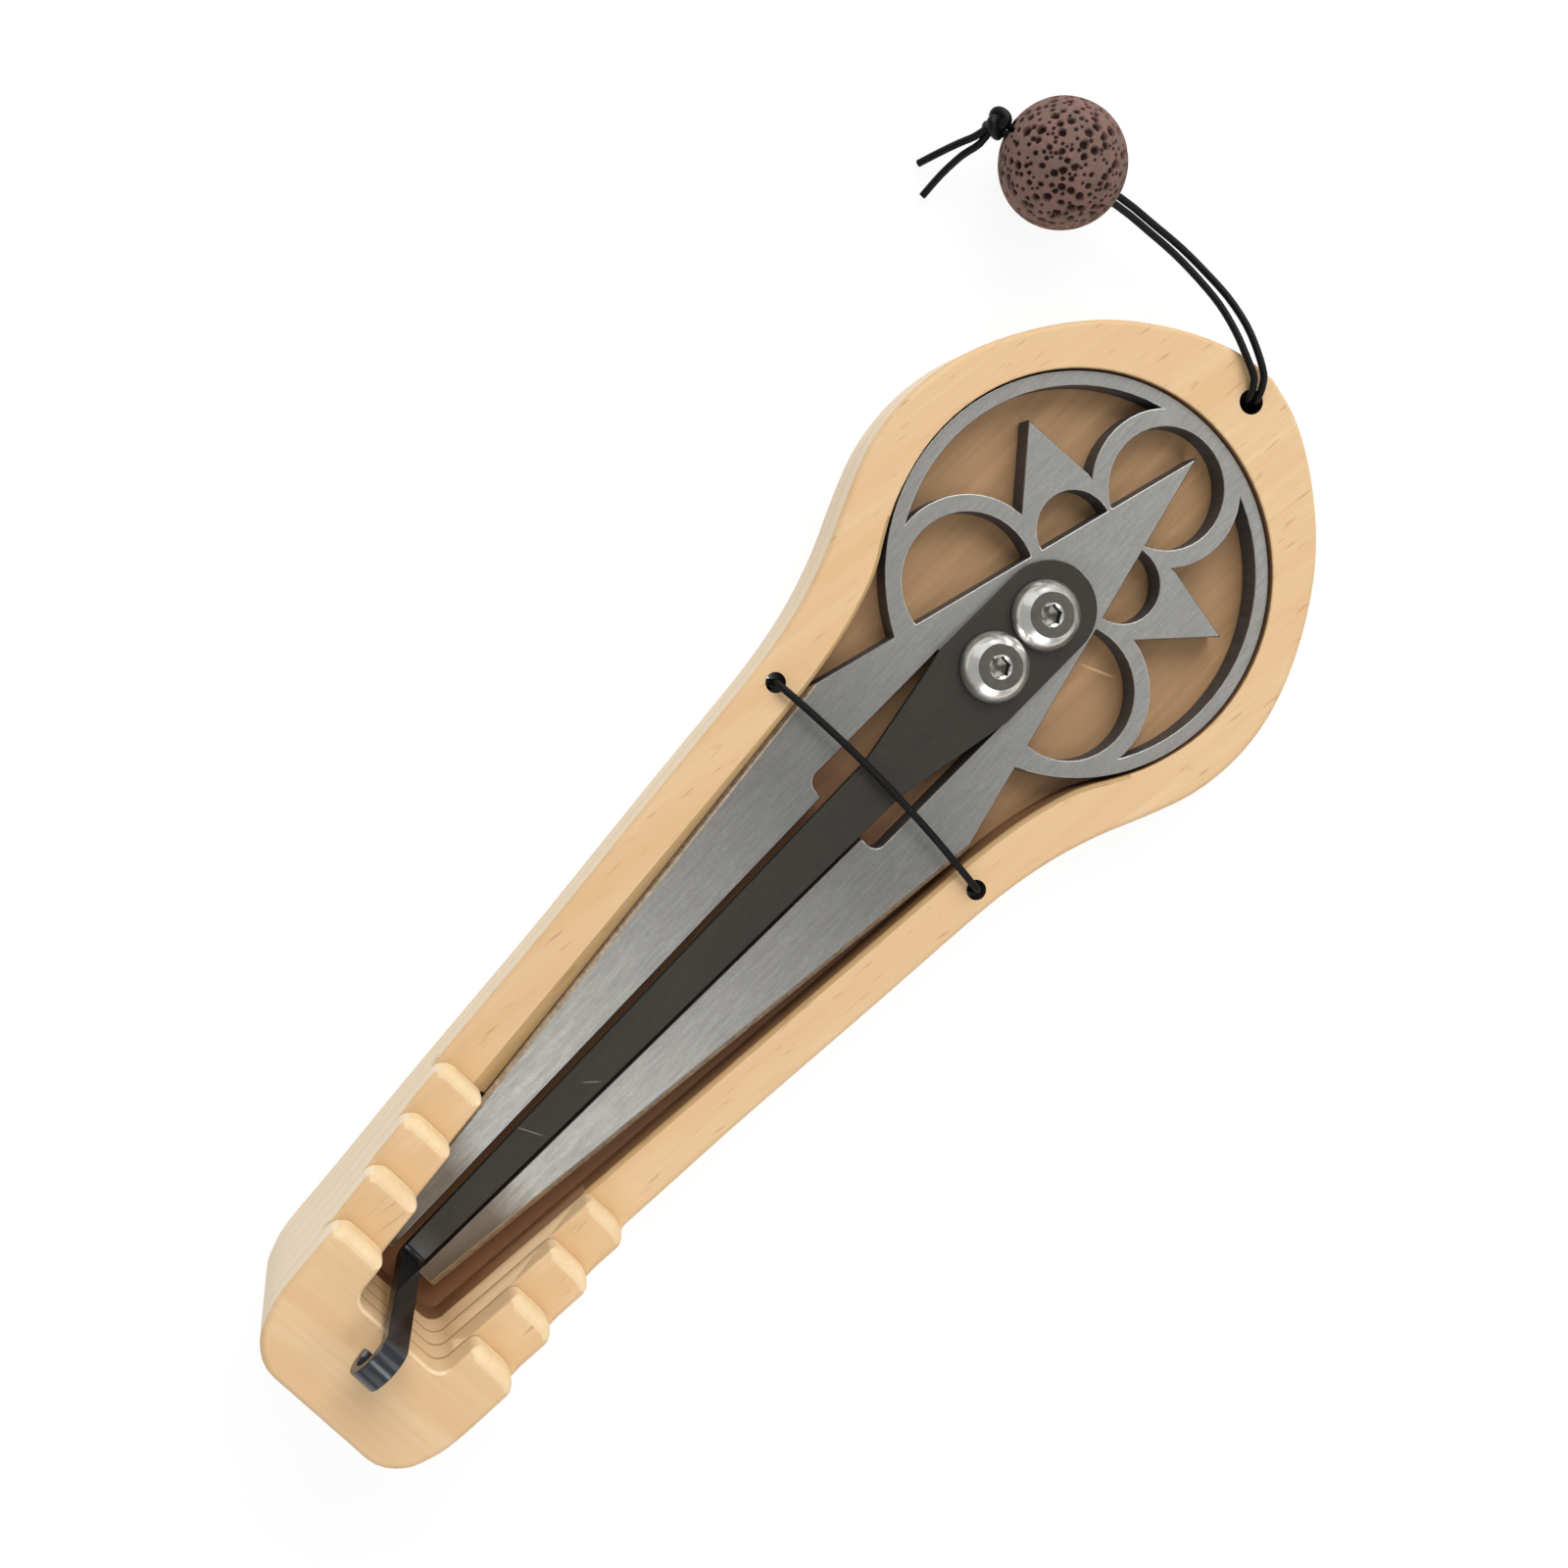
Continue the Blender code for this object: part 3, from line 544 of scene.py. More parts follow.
def outline_groups(edges):
    """Edges sorted into connected loops, the longest first."""
    left = set(edges)
    groups = []
    while left:
        group = []
        waiting = [left.pop()]
        while waiting:
            edge = waiting.pop()
            group.append(edge)
            near = left.intersection(other for vert in edge.verts for other in vert.link_edges)
            left -= near
            waiting += near
        groups.append(group)
    return sorted(groups, key=lambda group: -sum(edge.calc_length() for edge in group))


def put(name, data):
    """A new object in the scene."""
    made = bpy.data.objects.new(name, data)
    bpy.context.scene.collection.objects.link(made)
    return made


def add_piece(name, shape, looks, body, nodes, even=True):
    """A finished mesh piece: shaded, dressed, riding on its body and standing for its CAD nodes."""
    mesh = bpy.data.meshes.new(name)
    shape.to_mesh(mesh)
    shape.free()
    if "custom_normal" in mesh.attributes:
        mesh.attributes.remove(mesh.attributes["custom_normal"])
    mesh.shade_smooth()
    mesh.set_sharp_from_angle(angle=math.radians(40))
    for look in looks:
        mesh.materials.append(look)
    made = put(name, mesh)
    if even:
        shading = made.modifiers.new("even_shading", "WEIGHTED_NORMAL")
        shading.keep_sharp = True
    if body:
        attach(made, body)
    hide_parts(*nodes)
    return made


def inward(spot, out):
    """How far a direction at a spot looks towards the harp's axis, from 1 for inward to -1 for outward."""
    start, end = HARP_AXIS
    y = min(max(spot.y, end.y), start.y)
    away = Vector((spot.x, spot.y - y, 0))
    if away.length < WELD:
        return 0.0
    return -out.dot(away.normalized())


def faces_inward(face):
    """How far a face looks towards the harp's axis."""
    return inward(face.calc_center_median(), face.normal)


class JAWHARP_OT_case(Operator):
    """Dresses the case's six glued wood sheets with eased edges and grain"""

    bl_idname = "jaw_harp.case"
    bl_label = "Wooden case"

    def execute(self, context):
        wood = context.scene.jaw_harp.wood
        fronts = [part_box(node)[1].y for node in SHEETS[2:]]
        looks = self.looks(wood, fronts)
        for index, node in enumerate(SHEETS):
            ahead = fronts[index - 1] if 1 <= index < len(SHEETS) - 1 else -1.0
            shape = self.make_sheet(node, index, ahead, wood)
            shape.normal_update()
            for face in shape.faces:
                face.material_index = self.sort_face(face, index)
            used = sorted({face.material_index for face in shape.faces})
            for face in shape.faces:
                face.material_index = used.index(face.material_index)
            add_piece("wood_" + node, shape, [looks[look] for look in used], "case", [node])
        return {"FINISHED"}

    def make_sheet(self, node, index, ahead, wood):
        """A sheet with its glue line, its edges eased as far as the next sheet, which ends at ahead."""
        low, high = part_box(node)
        shape = merged(node)
        if index == 0:
            ease(shape, outline_groups(rim(shape, low.z))[0], wood.edge_radius)
            return shape
        foot = [vert for vert in shape.verts if abs(vert.co.z - low.z) < LEVEL]
        bmesh.ops.translate(shape, verts=foot, vec=(0, 0, -GLUE_LINE))
        if index > 1:
            self.round_top(shape, high, ahead, wood)
            return shape
        cut_across(shape, ahead)
        self.round_pocket(shape, outline_groups(rim(shape, high.z, ahead - 0.01 * MM)), wood)
        self.wear_leg(shape, high.z, wood.pocket_radius, wood.leg_radius)
        self.close_ring(shape, high.z, wood.pocket_radius)
        return shape

    def round_pocket(self, shape, groups, wood):
        """Rounds the pocket sheet's outline, its mouth and its cord holes over."""
        outer, mouth = groups[:2]
        holes = [edge for group in groups[2:] for edge in group]
        ease(shape, outer, wood.edge_radius, clamp=False)
        ease(shape, [edge for edge in mouth if edge.is_valid], wood.pocket_radius, clamp=False)
        ease(shape, [edge for edge in holes if edge.is_valid], wood.hole_radius, 2)

    def walls(self, shape, left=False):
        """The points of the pocket's wall and of its mouth, or only those of its left side."""
        shape.normal_update()
        found = set()
        for face in shape.faces:
            wall = abs(face.normal.z) < 0.99 and faces_inward(face) > 0.05
            if wall and (not left or face.calc_center_median().x < 0):
                found.update(face.verts)
        return found

    def grow_mouth(self, vert, out, top, radius, grown):
        """Widens the round-over at a point towards out, and returns the point's share of the way up it."""
        drop = top - vert.co.z
        rise = unit(1 - drop / radius)
        vert.co += out * radius * (1 - math.sqrt(1 - rise * rise)) * grown
        if drop < 1.01 * radius:
            vert.co.z -= drop * grown
        return rise

    def wear_leg(self, shape, top, radius, worn_radius):
        """Widens the mouth's round-over along the left leg, where the harp is taken out by its arm.

        The wall under it leans to the arm, which lies closer to this side.
        """
        start, full = LEG_WEAR
        for vert in self.walls(shape, left=True):
            if vert.co.y >= start:
                continue
            grown = (worn_radius / radius - 1) * min((start - vert.co.y) / (start - full), 1)
            rise = self.grow_mouth(vert, Vector((-1, 0, 0)), top, radius, grown)
            vert.co.x += LEG_LEAN * (start - vert.co.y) * (1 - rise)

    def close_ring(self, shape, top, radius):
        """Brings the wall close to the harp's ring with a sharper mouth, fading out towards the neck."""
        for vert in self.walls(shape):
            away = Vector((vert.co.x, vert.co.y - RING_Y, 0))
            if not RING_WALL[0] < away.length < RING_WALL[1]:
                continue
            out = away.normalized()
            share = unit((out.y + 0.6) / 0.3)
            self.grow_mouth(vert, out, top, radius, (RING_MOUTH - 1) * share)
            vert.co -= out * RING_CLOSER * share

    def round_top(self, shape, high, ahead, wood):
        """Rounds a step over, widely at its front and closely around the trigger.

        The rounding fades out behind ahead, where the next sheet covers this one.
        """
        for back in (0.3, 0.0, -0.3, -0.6, -1.0):
            y = ahead + back * MM
            for edge in rim(shape, high.z):
                start, end = edge.verts
                if (start.co.y - y) * (end.co.y - y) < 0:
                    bmesh.utils.edge_split(edge, start, (y - start.co.y) / (end.co.y - start.co.y))
        shape.normal_update()
        tops = [face for face in shape.faces if face.normal.z > 0.99]
        top = max(tops, key=lambda face: face.calc_area())
        verts = list(top.verts)
        layers = 6
        rings = [[] for layer in range(layers + 1)]
        for before, vert, after in zip(verts[-1:] + verts, verts, verts[1:] + verts[:1]):
            along = (vert.co - before.co).normalized() + (after.co - vert.co).normalized()
            out = Vector((along.y, -along.x, 0)).normalized()
            inner = inward(vert.co, out) > 0.05
            side = wood.inner_radius if inner else wood.edge_radius
            front = wood.step_radius if high.y - vert.co.y < 1.6 * MM else side
            share = unit((vert.co.y - ahead + 1.0 * MM) / (1.3 * MM))
            reach = Vector((out.x * side, out.y * front, 0)) * share
            drop = (out.x**2 * side + out.y**2 * front) * share
            spot = vert.co.copy()
            for layer, ring in enumerate(rings):
                angle = math.pi / 2 * layer / layers
                place = spot - reach * (1 - math.cos(angle))
                place.z -= drop * (1 - math.sin(angle))
                ring.append(shape.verts.new(place) if layer else vert)
            vert.co.z -= drop
        bmesh.ops.delete(shape, geom=[top], context="FACES_ONLY")
        for ring, above in zip(rings, rings[1:]):
            for a, b, c, d in zip(ring, ring[1:] + ring[:1], above[1:] + above[:1], above):
                shape.faces.new((a, b, c, d))
        shape.faces.new(rings[-1])
        bmesh.ops.remove_doubles(shape, verts=shape.verts, dist=WELD)
        bmesh.ops.dissolve_degenerate(shape, dist=WELD, edges=shape.edges)

    def sort_face(self, face, index):
        """Which of the looks a face of a sheet gets, by where it lies and which way it looks."""
        step = index > 1
        centre = face.calc_center_median().to_2d()
        near_hole = any((centre - Vector(hole)).length < HOLE_REACH for hole in HOLES)
        if near_hole and abs(face.normal.z) < 0.98:
            return HOLE
        if face.normal.z > (0.997 if step else 0.98):
            return TOPS[index]
        if face.normal.z < -0.98:
            return FACE
        if abs(face.normal.z) >= 0.1:
            # Painted highlight: the steps' round-overs that face +Y, towards the light, get the paler
            # looks.
            if step and face.normal.y > 0.2:
                return HALF_HIGHLIGHT if face.normal.z > 0.87 else EDGE_HIGHLIGHT
            if step:
                return TOPS[index]
            # Painted shade: the mouth's round-over below the ring gets the darker mouth look.
            shaded_mouth = centre.y < RING_Y - 8 * MM and faces_inward(face) > 0.2
            return MOUTH_SHADE if index and shaded_mouth else FACE
        if faces_inward(face) > 0.4:
            return INSIDE if step else POCKET
        # Painted highlight: the steps' fronts that face +Y get the paler look.
        return FRONT_HIGHLIGHT if step and face.normal.y > 0.5 else WALL

    def looks(self, wood, fronts):
        """The looks of the case, in the order of their names above."""
        deck, grain, fleck = wood.deck, wood.grain, wood.fleck
        side = scaled(wood.wall, 0.95)
        # The pocket wall's grain mixes in this tone, darker than its colour.
        pocket_darker = scaled(wood.pocket, 0.7)
        shade = scaled(wood.floor, 0.72)
        trench_shade = (wood.trench_shade, TRENCH_SHADE)
        made = [
            wood_look("wood_face", deck, grain, fleck, turn=GRAIN_TURN),
            wood_look("wood_wall", wood.wall, side, side, line=(wood.glue, 0.2)),
            wood_look("wood_edge_highlight", wood.eased, deck, deck),
            wood_look("wood_inside", wood.inner, deck, grain, line=(wood.glue, 0.8)),
            wood_look("wood_pocket", wood.pocket, pocket_darker, pocket_darker, line=(wood.glue, 0.4)),
            wood_look("wood_front_highlight", wood.eased, deck, deck, line=(wood.glue, 0.6)),
            wood_look("wood_floor", wood.floor, shade, shade, painted_shade=trench_shade, nick=FLOOR_SCRATCH),
            wood_look("wood_hole", wood.hole, scaled(wood.hole, 0.5), wood.hole),
            wood_look("wood_cross", deck, grain, grain, turn=88.0),
            wood_look("wood_mouth_shade", wood.mouth, scaled(wood.mouth, 0.8), wood.pocket),
        ]
        for front in fronts:
            # Painted shade: each tread darkens over the last 2.1 mm before the next step's front.
            painted_shade = (wood.foot, (front + 2.2 * MM, front + 0.1 * MM))
            made.append(wood_look("wood_tread", deck, grain, fleck, turn=GRAIN_TURN, painted_shade=painted_shade))
        # Painted highlight, halfway between the deck and the paler round-over colour.
        half = tuple((first + second) / 2 for first, second in zip(deck, wood.eased))
        made.append(wood_look("wood_half_highlight", half, deck, grain))
        return made


class JAWHARP_OT_frame(Operator):
    """Dresses the harp's steel frame with broken edges, brushed faces and dark cut walls"""

    bl_idname = "jaw_harp.frame"
    bl_label = "Steel frame"

    def execute(self, context):
        steel = context.scene.jaw_harp.steel
        low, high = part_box("harp_frame")
        shape = merged("harp_frame")
        arms = []
        for edge in rim(shape, high.z):
            middle = (edge.verts[0].co + edge.verts[1].co) / 2
            outer = middle.y < 5 * MM and abs(middle.x) > 3 * MM
            if outer and edge.calc_length() > 30 * MM:
                arms.append(edge)
        ease(shape, arms, steel.arm_chamfer, 1)
        shape.normal_update()
        ease(shape, rim(shape, high.z), steel.edge_radius, 2, clamp=False)
        shape.normal_update()
        ease(shape, rim(shape, low.z), steel.edge_radius, 1)
        shape.normal_update()
        for face in shape.faces:
            face.material_index = self.sort_face(face)
        looks = [
            plate_look("brushed_plate", steel.plate, steel.painted_wood_reflection),
            cut_look("cut_wall", steel.cut),
            # Painted reflection: the arms' chamfers get the warm colour of the wood they face.
            cut_look("arm_chamfer", steel.painted_chamfer_reflection),
            # Broken edges: lighter bare steel from wear, with a painted highlight.
            bright_look("worn_highlight_edge", steel.edge, 0.38),
        ]
        add_piece("steel_frame", shape, looks, "harp", ["harp_frame"])
        return {"FINISHED"}

    def sort_face(self, face):
        """Which of the looks a face gets, by its tilt. Of the sloping faces only the chamfers are large."""
        tilt = abs(face.normal.z)
        if 0.6 < tilt < 0.8 and face.calc_area() > 3 * MM**2:
            return CHAMFER_REFLECTION
        if tilt > 0.97:
            return PLATE
        return CUT if tilt < 0.3 else WORN_HIGHLIGHT


class JAWHARP_OT_reed(Operator):
    """Dresses the reed and its trigger as one bending strip"""

    bl_idname = "jaw_harp.reed"
    bl_label = "Reed"

    def execute(self, context):
        steel = context.scene.jaw_harp.steel
        shape = merged("reed")
        edges = [edge for edge in shape.edges if edge.calc_face_angle(0) > math.radians(60)]
        ease(shape, edges, steel.reed_edge, 2)
        for step in range(1, REED_CUTS):
            cut_across(shape, REED_ROOT + (REED_BEND - REED_ROOT) * step / REED_CUTS)
        looks = [reed_look("dark_oxide", steel.reed, steel.trigger)]
        reed = add_piece("reed_strip", shape, looks, None, ["reed"])
        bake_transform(reed)
        return {"FINISHED"}


class JAWHARP_OT_screws(Operator):
    """Turns the two screws with their domed rims, flat tops and hexagon sockets"""

    bl_idname = "jaw_harp.screws"
    bl_label = "Screws"

    def execute(self, context):
        steel = context.scene.jaw_harp.steel
        looks = [
            bright_look("polished_rim", steel.screw, 0.24, 0.92),
            bright_look("shaded_top_and_socket", steel.screw_top_shade, 0.3),
        ]
        for name in ("screw_upper", "screw_lower"):
            self.make(name, looks)
        return {"FINISHED"}

    def make(self, name, looks):
        """Spins a screw from its profile and cuts its socket to six flats."""
        low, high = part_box(name)
        centre = Vector(((low.x + high.x) / 2, (low.y + high.y) / 2, high.z))
        foot = (low.z - high.z) / MM
        profile = [(0.0, foot), (1.3, foot), (1.5, foot + 0.2), *SCREW_HEAD]
        shape = bmesh.new()
        verts = [shape.verts.new((radius * MM, 0, z * MM)) for radius, z in profile]
        edges = [shape.edges.new(pair) for pair in zip(verts, verts[1:])]
        line = verts + edges
        zero = (0, 0, 0)
        axis = (0, 0, 1)
        bmesh.ops.spin(shape, geom=line, cent=zero, axis=axis, angle=math.tau, steps=72, use_merge=True)
        bmesh.ops.remove_doubles(shape, verts=shape.verts, dist=WELD)
        for vert in shape.verts:
            across = vert.co.to_2d().length
            if vert.co.z < -0.15 * MM and abs(across - SOCKET_RADIUS * MM) < 0.01 * MM:
                turn = math.atan2(vert.co.y, vert.co.x) % (math.pi / 3) - math.pi / 6
                reach = SOCKET_FLAT / math.cos(turn) / SOCKET_RADIUS
                vert.co.x *= reach
                vert.co.y *= reach
        bmesh.ops.translate(shape, verts=shape.verts, vec=centre)
        bmesh.ops.recalc_face_normals(shape, faces=shape.faces)
        for face in shape.faces:
            middle = face.calc_center_median() - centre
            flat = face.normal.z > 0.98 and middle.z > -0.05 * MM
            socket = middle.z < -0.2 * MM and middle.to_2d().length < (SOCKET_RADIUS + 0.02) * MM
            # Painted reflection and shade: the flat top and the inside of the socket get the darker look.
            face.material_index = 1 if flat or socket else 0
        add_piece("polished_" + name, shape, looks, "harp", [name])


def smooth_line(points, steps):
    """A curve through the points, as a list of points."""
    ends = [Vector(point) for point in (points[0], *points, points[-1])]
    found = []
    for before, start, end, after in zip(ends, ends[1:], ends[2:], ends[3:]):
        for step in range(steps):
            t = step / steps
            square = (2 * before - 5 * start + 4 * end - after) * t * t
            cube = (3 * start - before - 3 * end + after) * t**3
            found.append(0.5 * (2 * start + (end - before) * t + square + cube))
    found.append(ends[-1])
    return found


def cord_curve(name, points, radius, look, cyclic=False):
    """A round cord along points, as a curve of one spline."""
    curve = bpy.data.curves.new(name, "CURVE")
    curve.dimensions = "3D"
    curve.bevel_depth = radius
    curve.bevel_resolution = 5
    curve.use_fill_caps = True
    spline = curve.splines.new("POLY")
    spline.points.add(len(points) - 1)
    for spot, point in zip(points, spline.points):
        point.co = (*spot, 1.0)
    spline.use_cyclic_u = cyclic
    spline.use_smooth = True
    curve.materials.append(look)
    return put(name, curve)


def as_mesh(made):
    """The curve object turned into a mesh object of the same name."""
    bpy.context.view_layer.update()
    mesh = bpy.data.meshes.new_from_object(made.evaluated_get(bpy.context.evaluated_depsgraph_get()))
    name = made.name
    bpy.data.objects.remove(made)
    mesh.name = name
    return put(name, mesh)


def knot_line(spot, axis, radius, turns):
    """An overhand knot about an axis: a strand that winds round a small ring and closes on itself."""
    turn = Vector(axis).to_track_quat("Z", "Y").to_matrix()
    found = []
    for step in range(turns):
        t = math.tau * step / turns
        wide = radius / 3
        x = wide * (math.sin(t) + 2 * math.sin(2 * t))
        y = wide * (math.cos(t) - 2 * math.cos(2 * t))
        z = -radius * 0.55 * math.sin(3 * t)
        found.append(Vector(spot) + turn @ Vector((x, y, z)))
    return found


class JAWHARP_OT_elastic(Operator):
    """Lays the elastic over the harp, down its two holes and back along the groove under the case"""

    bl_idname = "jaw_harp.elastic"
    bl_label = "Elastic"

    def execute(self, context):
        cords = context.scene.jaw_harp.cords
        low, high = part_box("elastic")
        radius = cords.elastic_radius
        y = ELASTIC_Y
        reach = high.x - radius
        top = high.z - radius
        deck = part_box("case_pocket")[1].z
        groove = low.z + radius
        side = [(0.0, y, groove + 0.5 * MM), (1.6 * MM, y, groove + 0.1 * MM), (2.6 * MM, y, groove)]
        side += [(x * MM, y, groove) for x in (5.0, 7.5, 9.6)]
        turn = 0.75 * MM
        side += self.arc(reach - turn, groove + turn, turn, (-70, -35, 0))
        side += [(reach, y, z * MM) for z in (2.0, 2.6, 3.2, 3.8, 4.4, 5.0, 5.5)]
        bend = 2 * radius
        side += self.arc(reach - bend, deck, bend, (15, 32, 49, 66, 80))
        last = side[-1]
        for step in range(1, 11):
            share = step / 10
            rise = share * (2 - share)
            height = last[2] + (top - last[2]) * rise
            side.append((last[0] * (1 - share), y + 0.5 * MM * rise, height))
        route = side + [(-x, y, z) for x, y, z in reversed(side[1:-1])]
        look = cord_look("black_rubber", cords.elastic, 0.5)
        elastic = as_mesh(cord_curve("elastic_loop", route, radius, look, True))
        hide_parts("elastic")
        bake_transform(elastic)
        knot = knot_line((0, y, 1.15 * MM), (1, 0, 0), 0.45 * MM, 36)
        made = cord_curve("elastic_knot", knot, radius, look, True)
        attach(made, "case")
        return {"FINISHED"}

    def arc(self, x, z, radius, degrees):
        """Points on a bend of the elastic about a middle at x and z."""
        angles = [math.radians(value) for value in degrees]
        return [(x + radius * math.cos(angle), ELASTIC_Y, z + radius * math.sin(angle)) for angle in angles]


class JAWHARP_OT_lanyard(Operator):
    """Lays the doubled lanyard cord from its stop knot through the bead to its end knot and tails"""

    bl_idname = "jaw_harp.lanyard"
    bl_label = "Lanyard"

    def execute(self, context):
        cords = context.scene.jaw_harp.cords
        look = cord_look("waxed_cord", cords.cord, 0.42)
        radius = cords.cord_radius
        wide = cords.knot_radius
        stop_spot = (*CORD_ROUTE[0][:2], 1.3 * MM)
        knot = cord_curve("end_knot", knot_line(KNOT_SPOT, BORE, 0.88 * MM, 48), wide, look, True)
        stop = cord_curve("stop_knot", knot_line(stop_spot, (0, 0, 1), 0.9 * MM, 48), wide, look, True)
        for made, node in ((knot, "lanyard_knot"), (stop, "lanyard_stop_knot")):
            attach(made, "case")
            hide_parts(node)
        for hand, turn in (("left", 1), ("right", -1)):
            route = smooth_line([*self.strand(turn), KNOT_SPOT, *TAILS[hand]], 3)
            made = cord_curve("cord_" + hand, route, radius, look)
            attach(made, "case")
            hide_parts("lanyard_strand_" + hand, "lanyard_tail_" + hand)
        return {"FINISHED"}

    def strand(self, turn):
        """The middle line moved to one side, so that the two strands lie next to each other."""
        found = []
        for index, (x, y, z, spacing) in enumerate(CORD_ROUTE):
            before = Vector(CORD_ROUTE[max(index - 1, 0)][:2])
            after = Vector(CORD_ROUTE[min(index + 1, len(CORD_ROUTE) - 1)][:2])
            run = after - before
            run = run.normalized() if run.length > 0.3 * MM else HOLE_RUN
            offset = Vector((-run.y, run.x)) * turn * spacing / 2
            found.append(Vector((x + offset.x, y + offset.y, z)))
        return found


class JAWHARP_OT_bead(Operator):
    """Carves the porous stone bead, with its bore along the cords"""

    bl_idname = "jaw_harp.bead"
    bl_label = "Stone bead"

    def execute(self, context):
        bead = context.scene.jaw_harp.bead
        shape = bmesh.new()
        bmesh.ops.create_uvsphere(shape, u_segments=300, v_segments=150, radius=bead.radius)
        caps = [vert for vert in shape.verts if vert.co.to_2d().length < bead.bore]
        bmesh.ops.delete(shape, geom=caps, context="VERTS")
        mouths = [edge for edge in shape.edges if edge.is_boundary]
        depth = shape.verts.layers.float.new("pore_depth")
        self.carve(shape, bead, depth)
        bmesh.ops.bridge_loops(shape, edges=mouths)
        bmesh.ops.recalc_face_normals(shape, faces=shape.faces)
        turn = BORE.to_track_quat("Z", "Y").to_matrix().to_4x4()
        bmesh.ops.transform(shape, matrix=Matrix.Translation(BEAD_SPOT) @ turn, verts=shape.verts)
        look = stone_look("porous_stone", bead.stone, bead.pore_shade)
        add_piece("stone_bead", shape, [look], "bead_body", ["bead"], even=False)
        return {"FINISHED"}

    def carve(self, shape, bead, depth):
        """Sinks round pores of several sizes into the sphere, and makes it a little uneven."""
        chance = random.Random(11)
        spots = []
        tries = 0
        while len(spots) < bead.pores and tries < 20000:
            tries += 1
            z = chance.uniform(-1, 1)
            angle = chance.uniform(0, math.tau)
            flat = math.sqrt(1 - z * z)
            spot = Vector((flat * math.cos(angle), flat * math.sin(angle), z)) * bead.radius
            size = 0.15 + 0.29 * chance.random() ** 1.3
            if all((spot - other).length > (size + wide) * 0.98 * MM for other, wide in spots):
                spots.append((spot, size))
        tree = kdtree.KDTree(len(spots))
        for index, (spot, size) in enumerate(spots):
            tree.insert(spot, index)
        tree.balance()
        for vert in shape.verts:
            wobble = noise.noise(vert.co * 260) * 0.5 + 0.5
            sink = 0.09 * MM * wobble
            painted_shade = 0.0
            for spot, index, away in tree.find_range(vert.co, 0.6 * MM):
                size = spots[index][1] * MM * (1 + 0.35 * noise.noise(vert.co * 2400))
                share = away / size
                if share < 1:
                    painted_shade = max(painted_shade, min(1.0, 1.9 * (1 - share)))
                    sink = max(sink, size * 1.25 * math.sqrt(1 - share**3))
            vert[depth] = painted_shade
            vert.co *= 1 - sink / bead.radius


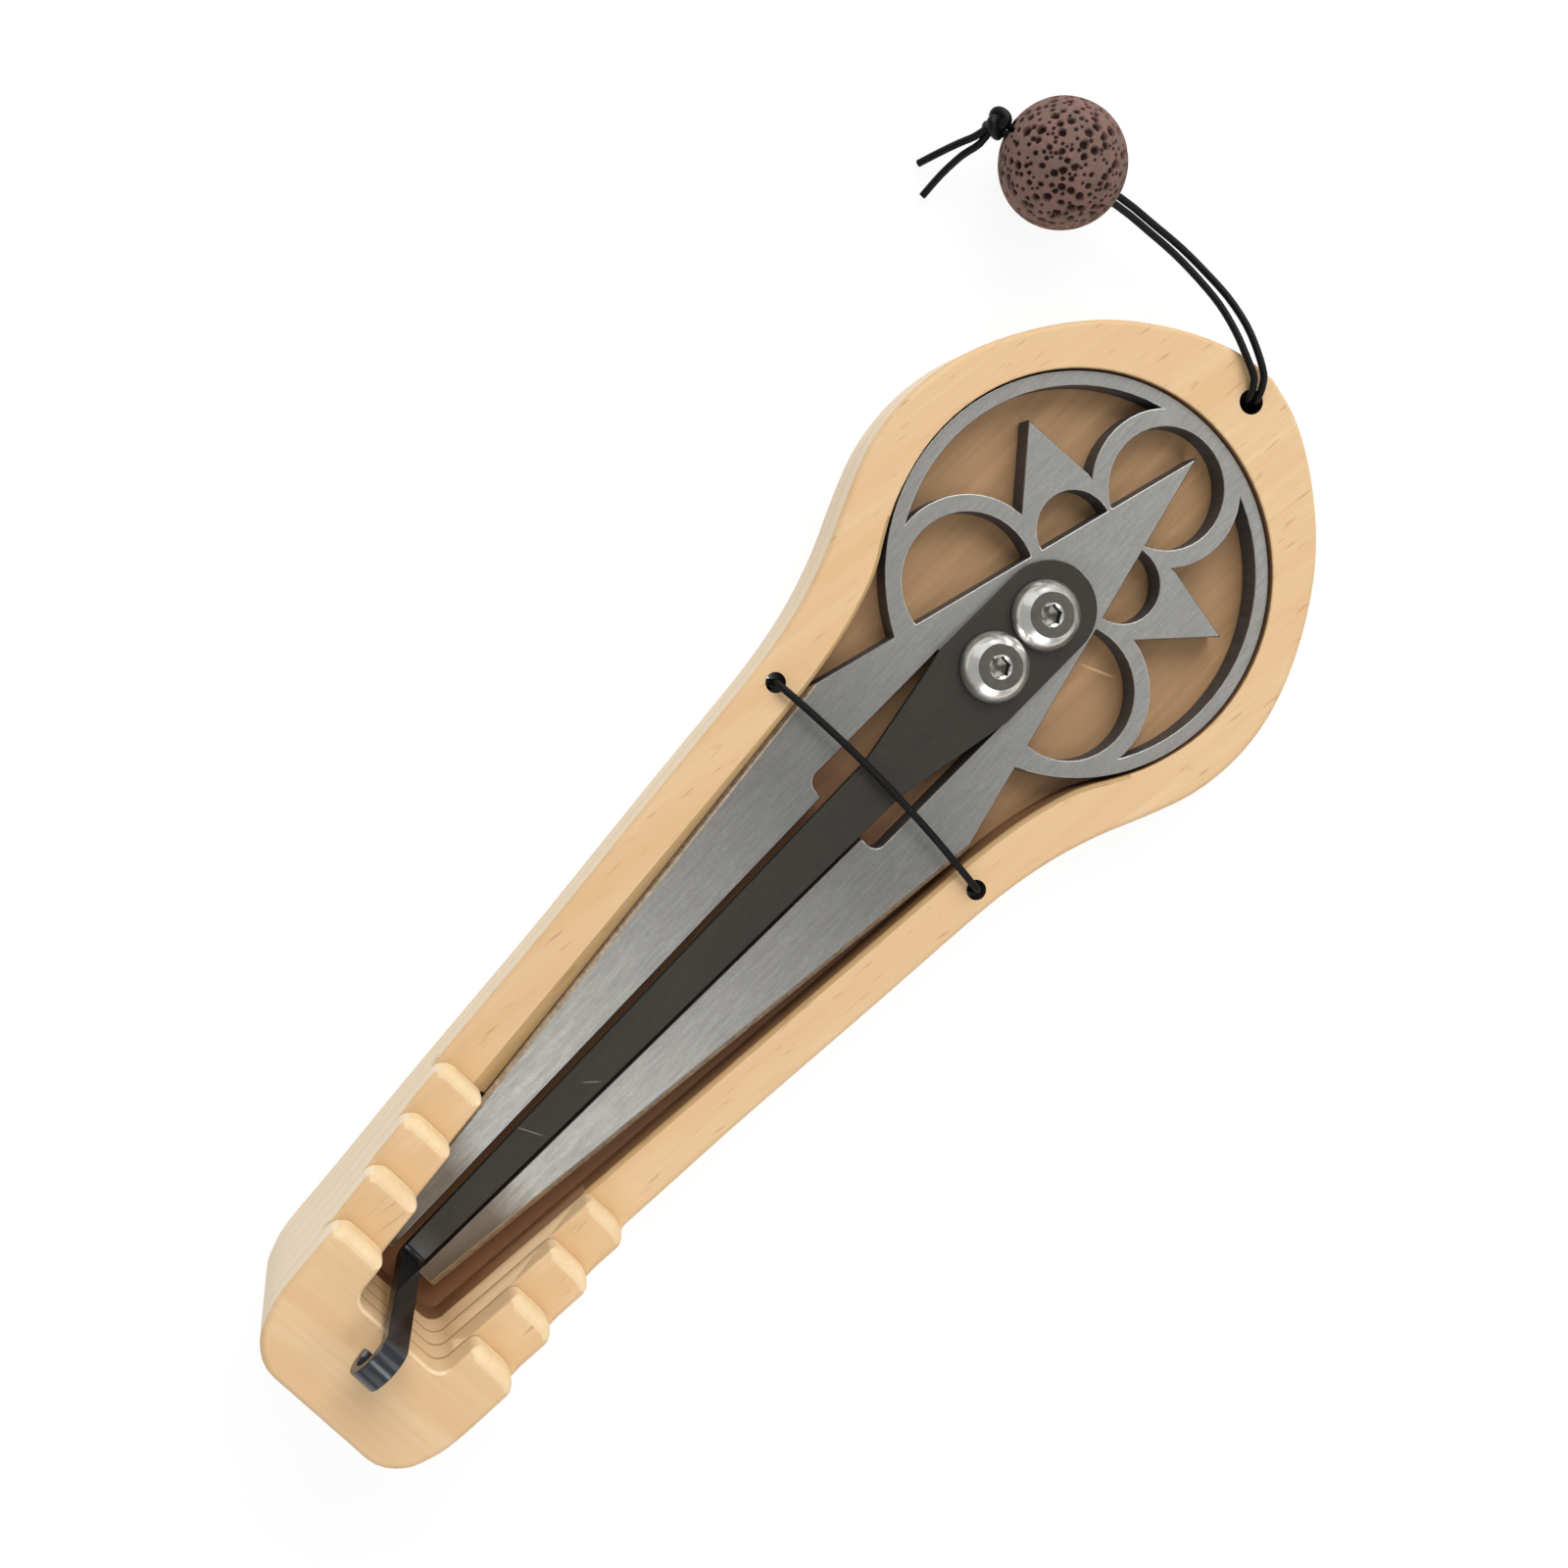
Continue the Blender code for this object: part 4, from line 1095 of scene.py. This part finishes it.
class JAWHARP_OT_stage(Operator):
    """Sets the pale floor, the soft lamps and the camera of the photograph"""

    bl_idname = "jaw_harp.stage"
    bl_label = "Stage"

    def execute(self, context):
        stage = context.scene.jaw_harp.stage
        context.scene.view_settings.view_transform = "Standard"
        self.floor(stage)
        self.sky(context.scene, stage)
        self.lamp("key", Vector((-0.45, 0.71, 0.72)), 1.0, stage.key)
        self.lamp("top", Vector((0.31, -0.22, 1.03)), 0.3, stage.top)
        self.lamp("back", Vector((0.45, 0.55, 0.8)), 0.5, stage.back)
        self.lamp("side", Vector((-0.75, 0.1, 0.3)), 0.6, stage.side)
        self.lamp("front", Vector((0.5, -0.6, 0.36)), 0.8, stage.front)
        self.camera(context.scene)
        return {"FINISHED"}

    def floor(self, stage):
        """A wide floor that the camera sees as nearly white."""
        shape = bmesh.new()
        bmesh.ops.create_grid(shape, x_segments=1, y_segments=1, size=1.5)
        mesh = bpy.data.meshes.new("floor")
        shape.to_mesh(mesh)
        shape.free()
        look, tree, shader = new_look("pale_floor", 0.9)[:3]
        paint(tree, shader, stage.floor)
        path = grow(tree, "ShaderNodeLightPath")
        seen = math_node(tree, "MAXIMUM", path.outputs["Is Camera Ray"], path.outputs["Is Glossy Ray"])
        seen = math_node(tree, "MAXIMUM", seen, path.outputs["Is Transmission Ray"])
        share = math_node(tree, "MULTIPLY", seen, 0.85)
        white = grow(tree, "ShaderNodeEmission", {"Color": (1, 1, 1, 1), "Strength": 1.05})
        both = grow(tree, "ShaderNodeMixShader", {0: share, 1: shader.outputs[0], 2: white.outputs[0]})
        plug(tree, tree.nodes["Material Output"].inputs[0], both.outputs[0])
        mesh.materials.append(look)
        made = put("floor", mesh)

    def sky(self, scene, stage):
        """Even light from all sides, which the camera sees as white."""
        world = bpy.data.worlds.new("soft_sky")
        world.use_nodes = True
        tree = world.node_tree
        back = tree.nodes["Background"]
        plug(tree, back.inputs["Color"], (1, 1, 1))
        path = grow(tree, "ShaderNodeLightPath")
        strength = ramp(tree, path.outputs["Is Camera Ray"], 0.0, 1.0, stage.sky, 1.0)
        plug(tree, back.inputs["Strength"], strength)
        scene.world = world

    def lamp(self, name, spot, size, share):
        """A soft round lamp. Share 1 would show a level face in just the colour it is given."""
        data = bpy.data.lights.new(name, "AREA")
        data.shape = "DISK"
        data.size = size
        data.energy = share * math.pi**2 * spot.length**3 / spot.z
        made = put(name, data)
        made.location = spot
        made.rotation_mode = "QUATERNION"
        made.rotation_quaternion = spot.to_track_quat("Z", "Y")

    def camera(self, scene):
        """The camera where it stood for the photograph."""
        data = bpy.data.cameras.new("camera")
        data.lens = CAMERA_LENS
        data.sensor_width = 36
        data.clip_start = 0.005
        data.clip_end = 10
        axes = Matrix((CAMERA_RIGHT, CAMERA_UP, CAMERA_BACK)).transposed()
        scene.camera = put("camera", data)
        scene.camera.matrix_world = Matrix.Translation(CAMERA_SPOT) @ axes.to_4x4()


OPERATORS = (
    JAWHARP_OT_stage,
    JAWHARP_OT_lanyard,
    JAWHARP_OT_case,
    JAWHARP_OT_frame,
    JAWHARP_OT_reed,
    JAWHARP_OT_screws,
    JAWHARP_OT_elastic,
    JAWHARP_OT_bead,
)


class JAWHARP_PT_pieces(Panel):
    """Lists the pieces of the jaw harp and their settings"""

    bl_label = "Jaw Harp"
    bl_space_type = "VIEW_3D"
    bl_region_type = "UI"
    bl_category = "Jaw Harp"

    def draw(self, context):
        settings = context.scene.jaw_harp
        for operator in OPERATORS:
            self.layout.operator(operator.bl_idname)
        for group in (settings.wood, settings.steel, settings.cords, settings.bead, settings.stage):
            box = self.layout.box()
            for name in group.__annotations__:
                box.prop(group, name)


SETTINGS = (WoodSettings, SteelSettings, CordSettings, BeadSettings, StageSettings, JawHarpSettings)
CLASSES = (*SETTINGS, *OPERATORS, JAWHARP_PT_pieces)


def register():
    for group in CLASSES:
        bpy.utils.register_class(group)
    bpy.types.Scene.jaw_harp = PointerProperty(type=JawHarpSettings)


def unregister():
    del bpy.types.Scene.jaw_harp
    for group in reversed(CLASSES):
        bpy.utils.unregister_class(group)


def main():
    register()
    for operator in OPERATORS:
        family, name = operator.bl_idname.split(".")
        getattr(getattr(bpy.ops, family), name)()


if __name__ == "__main__":
    main()
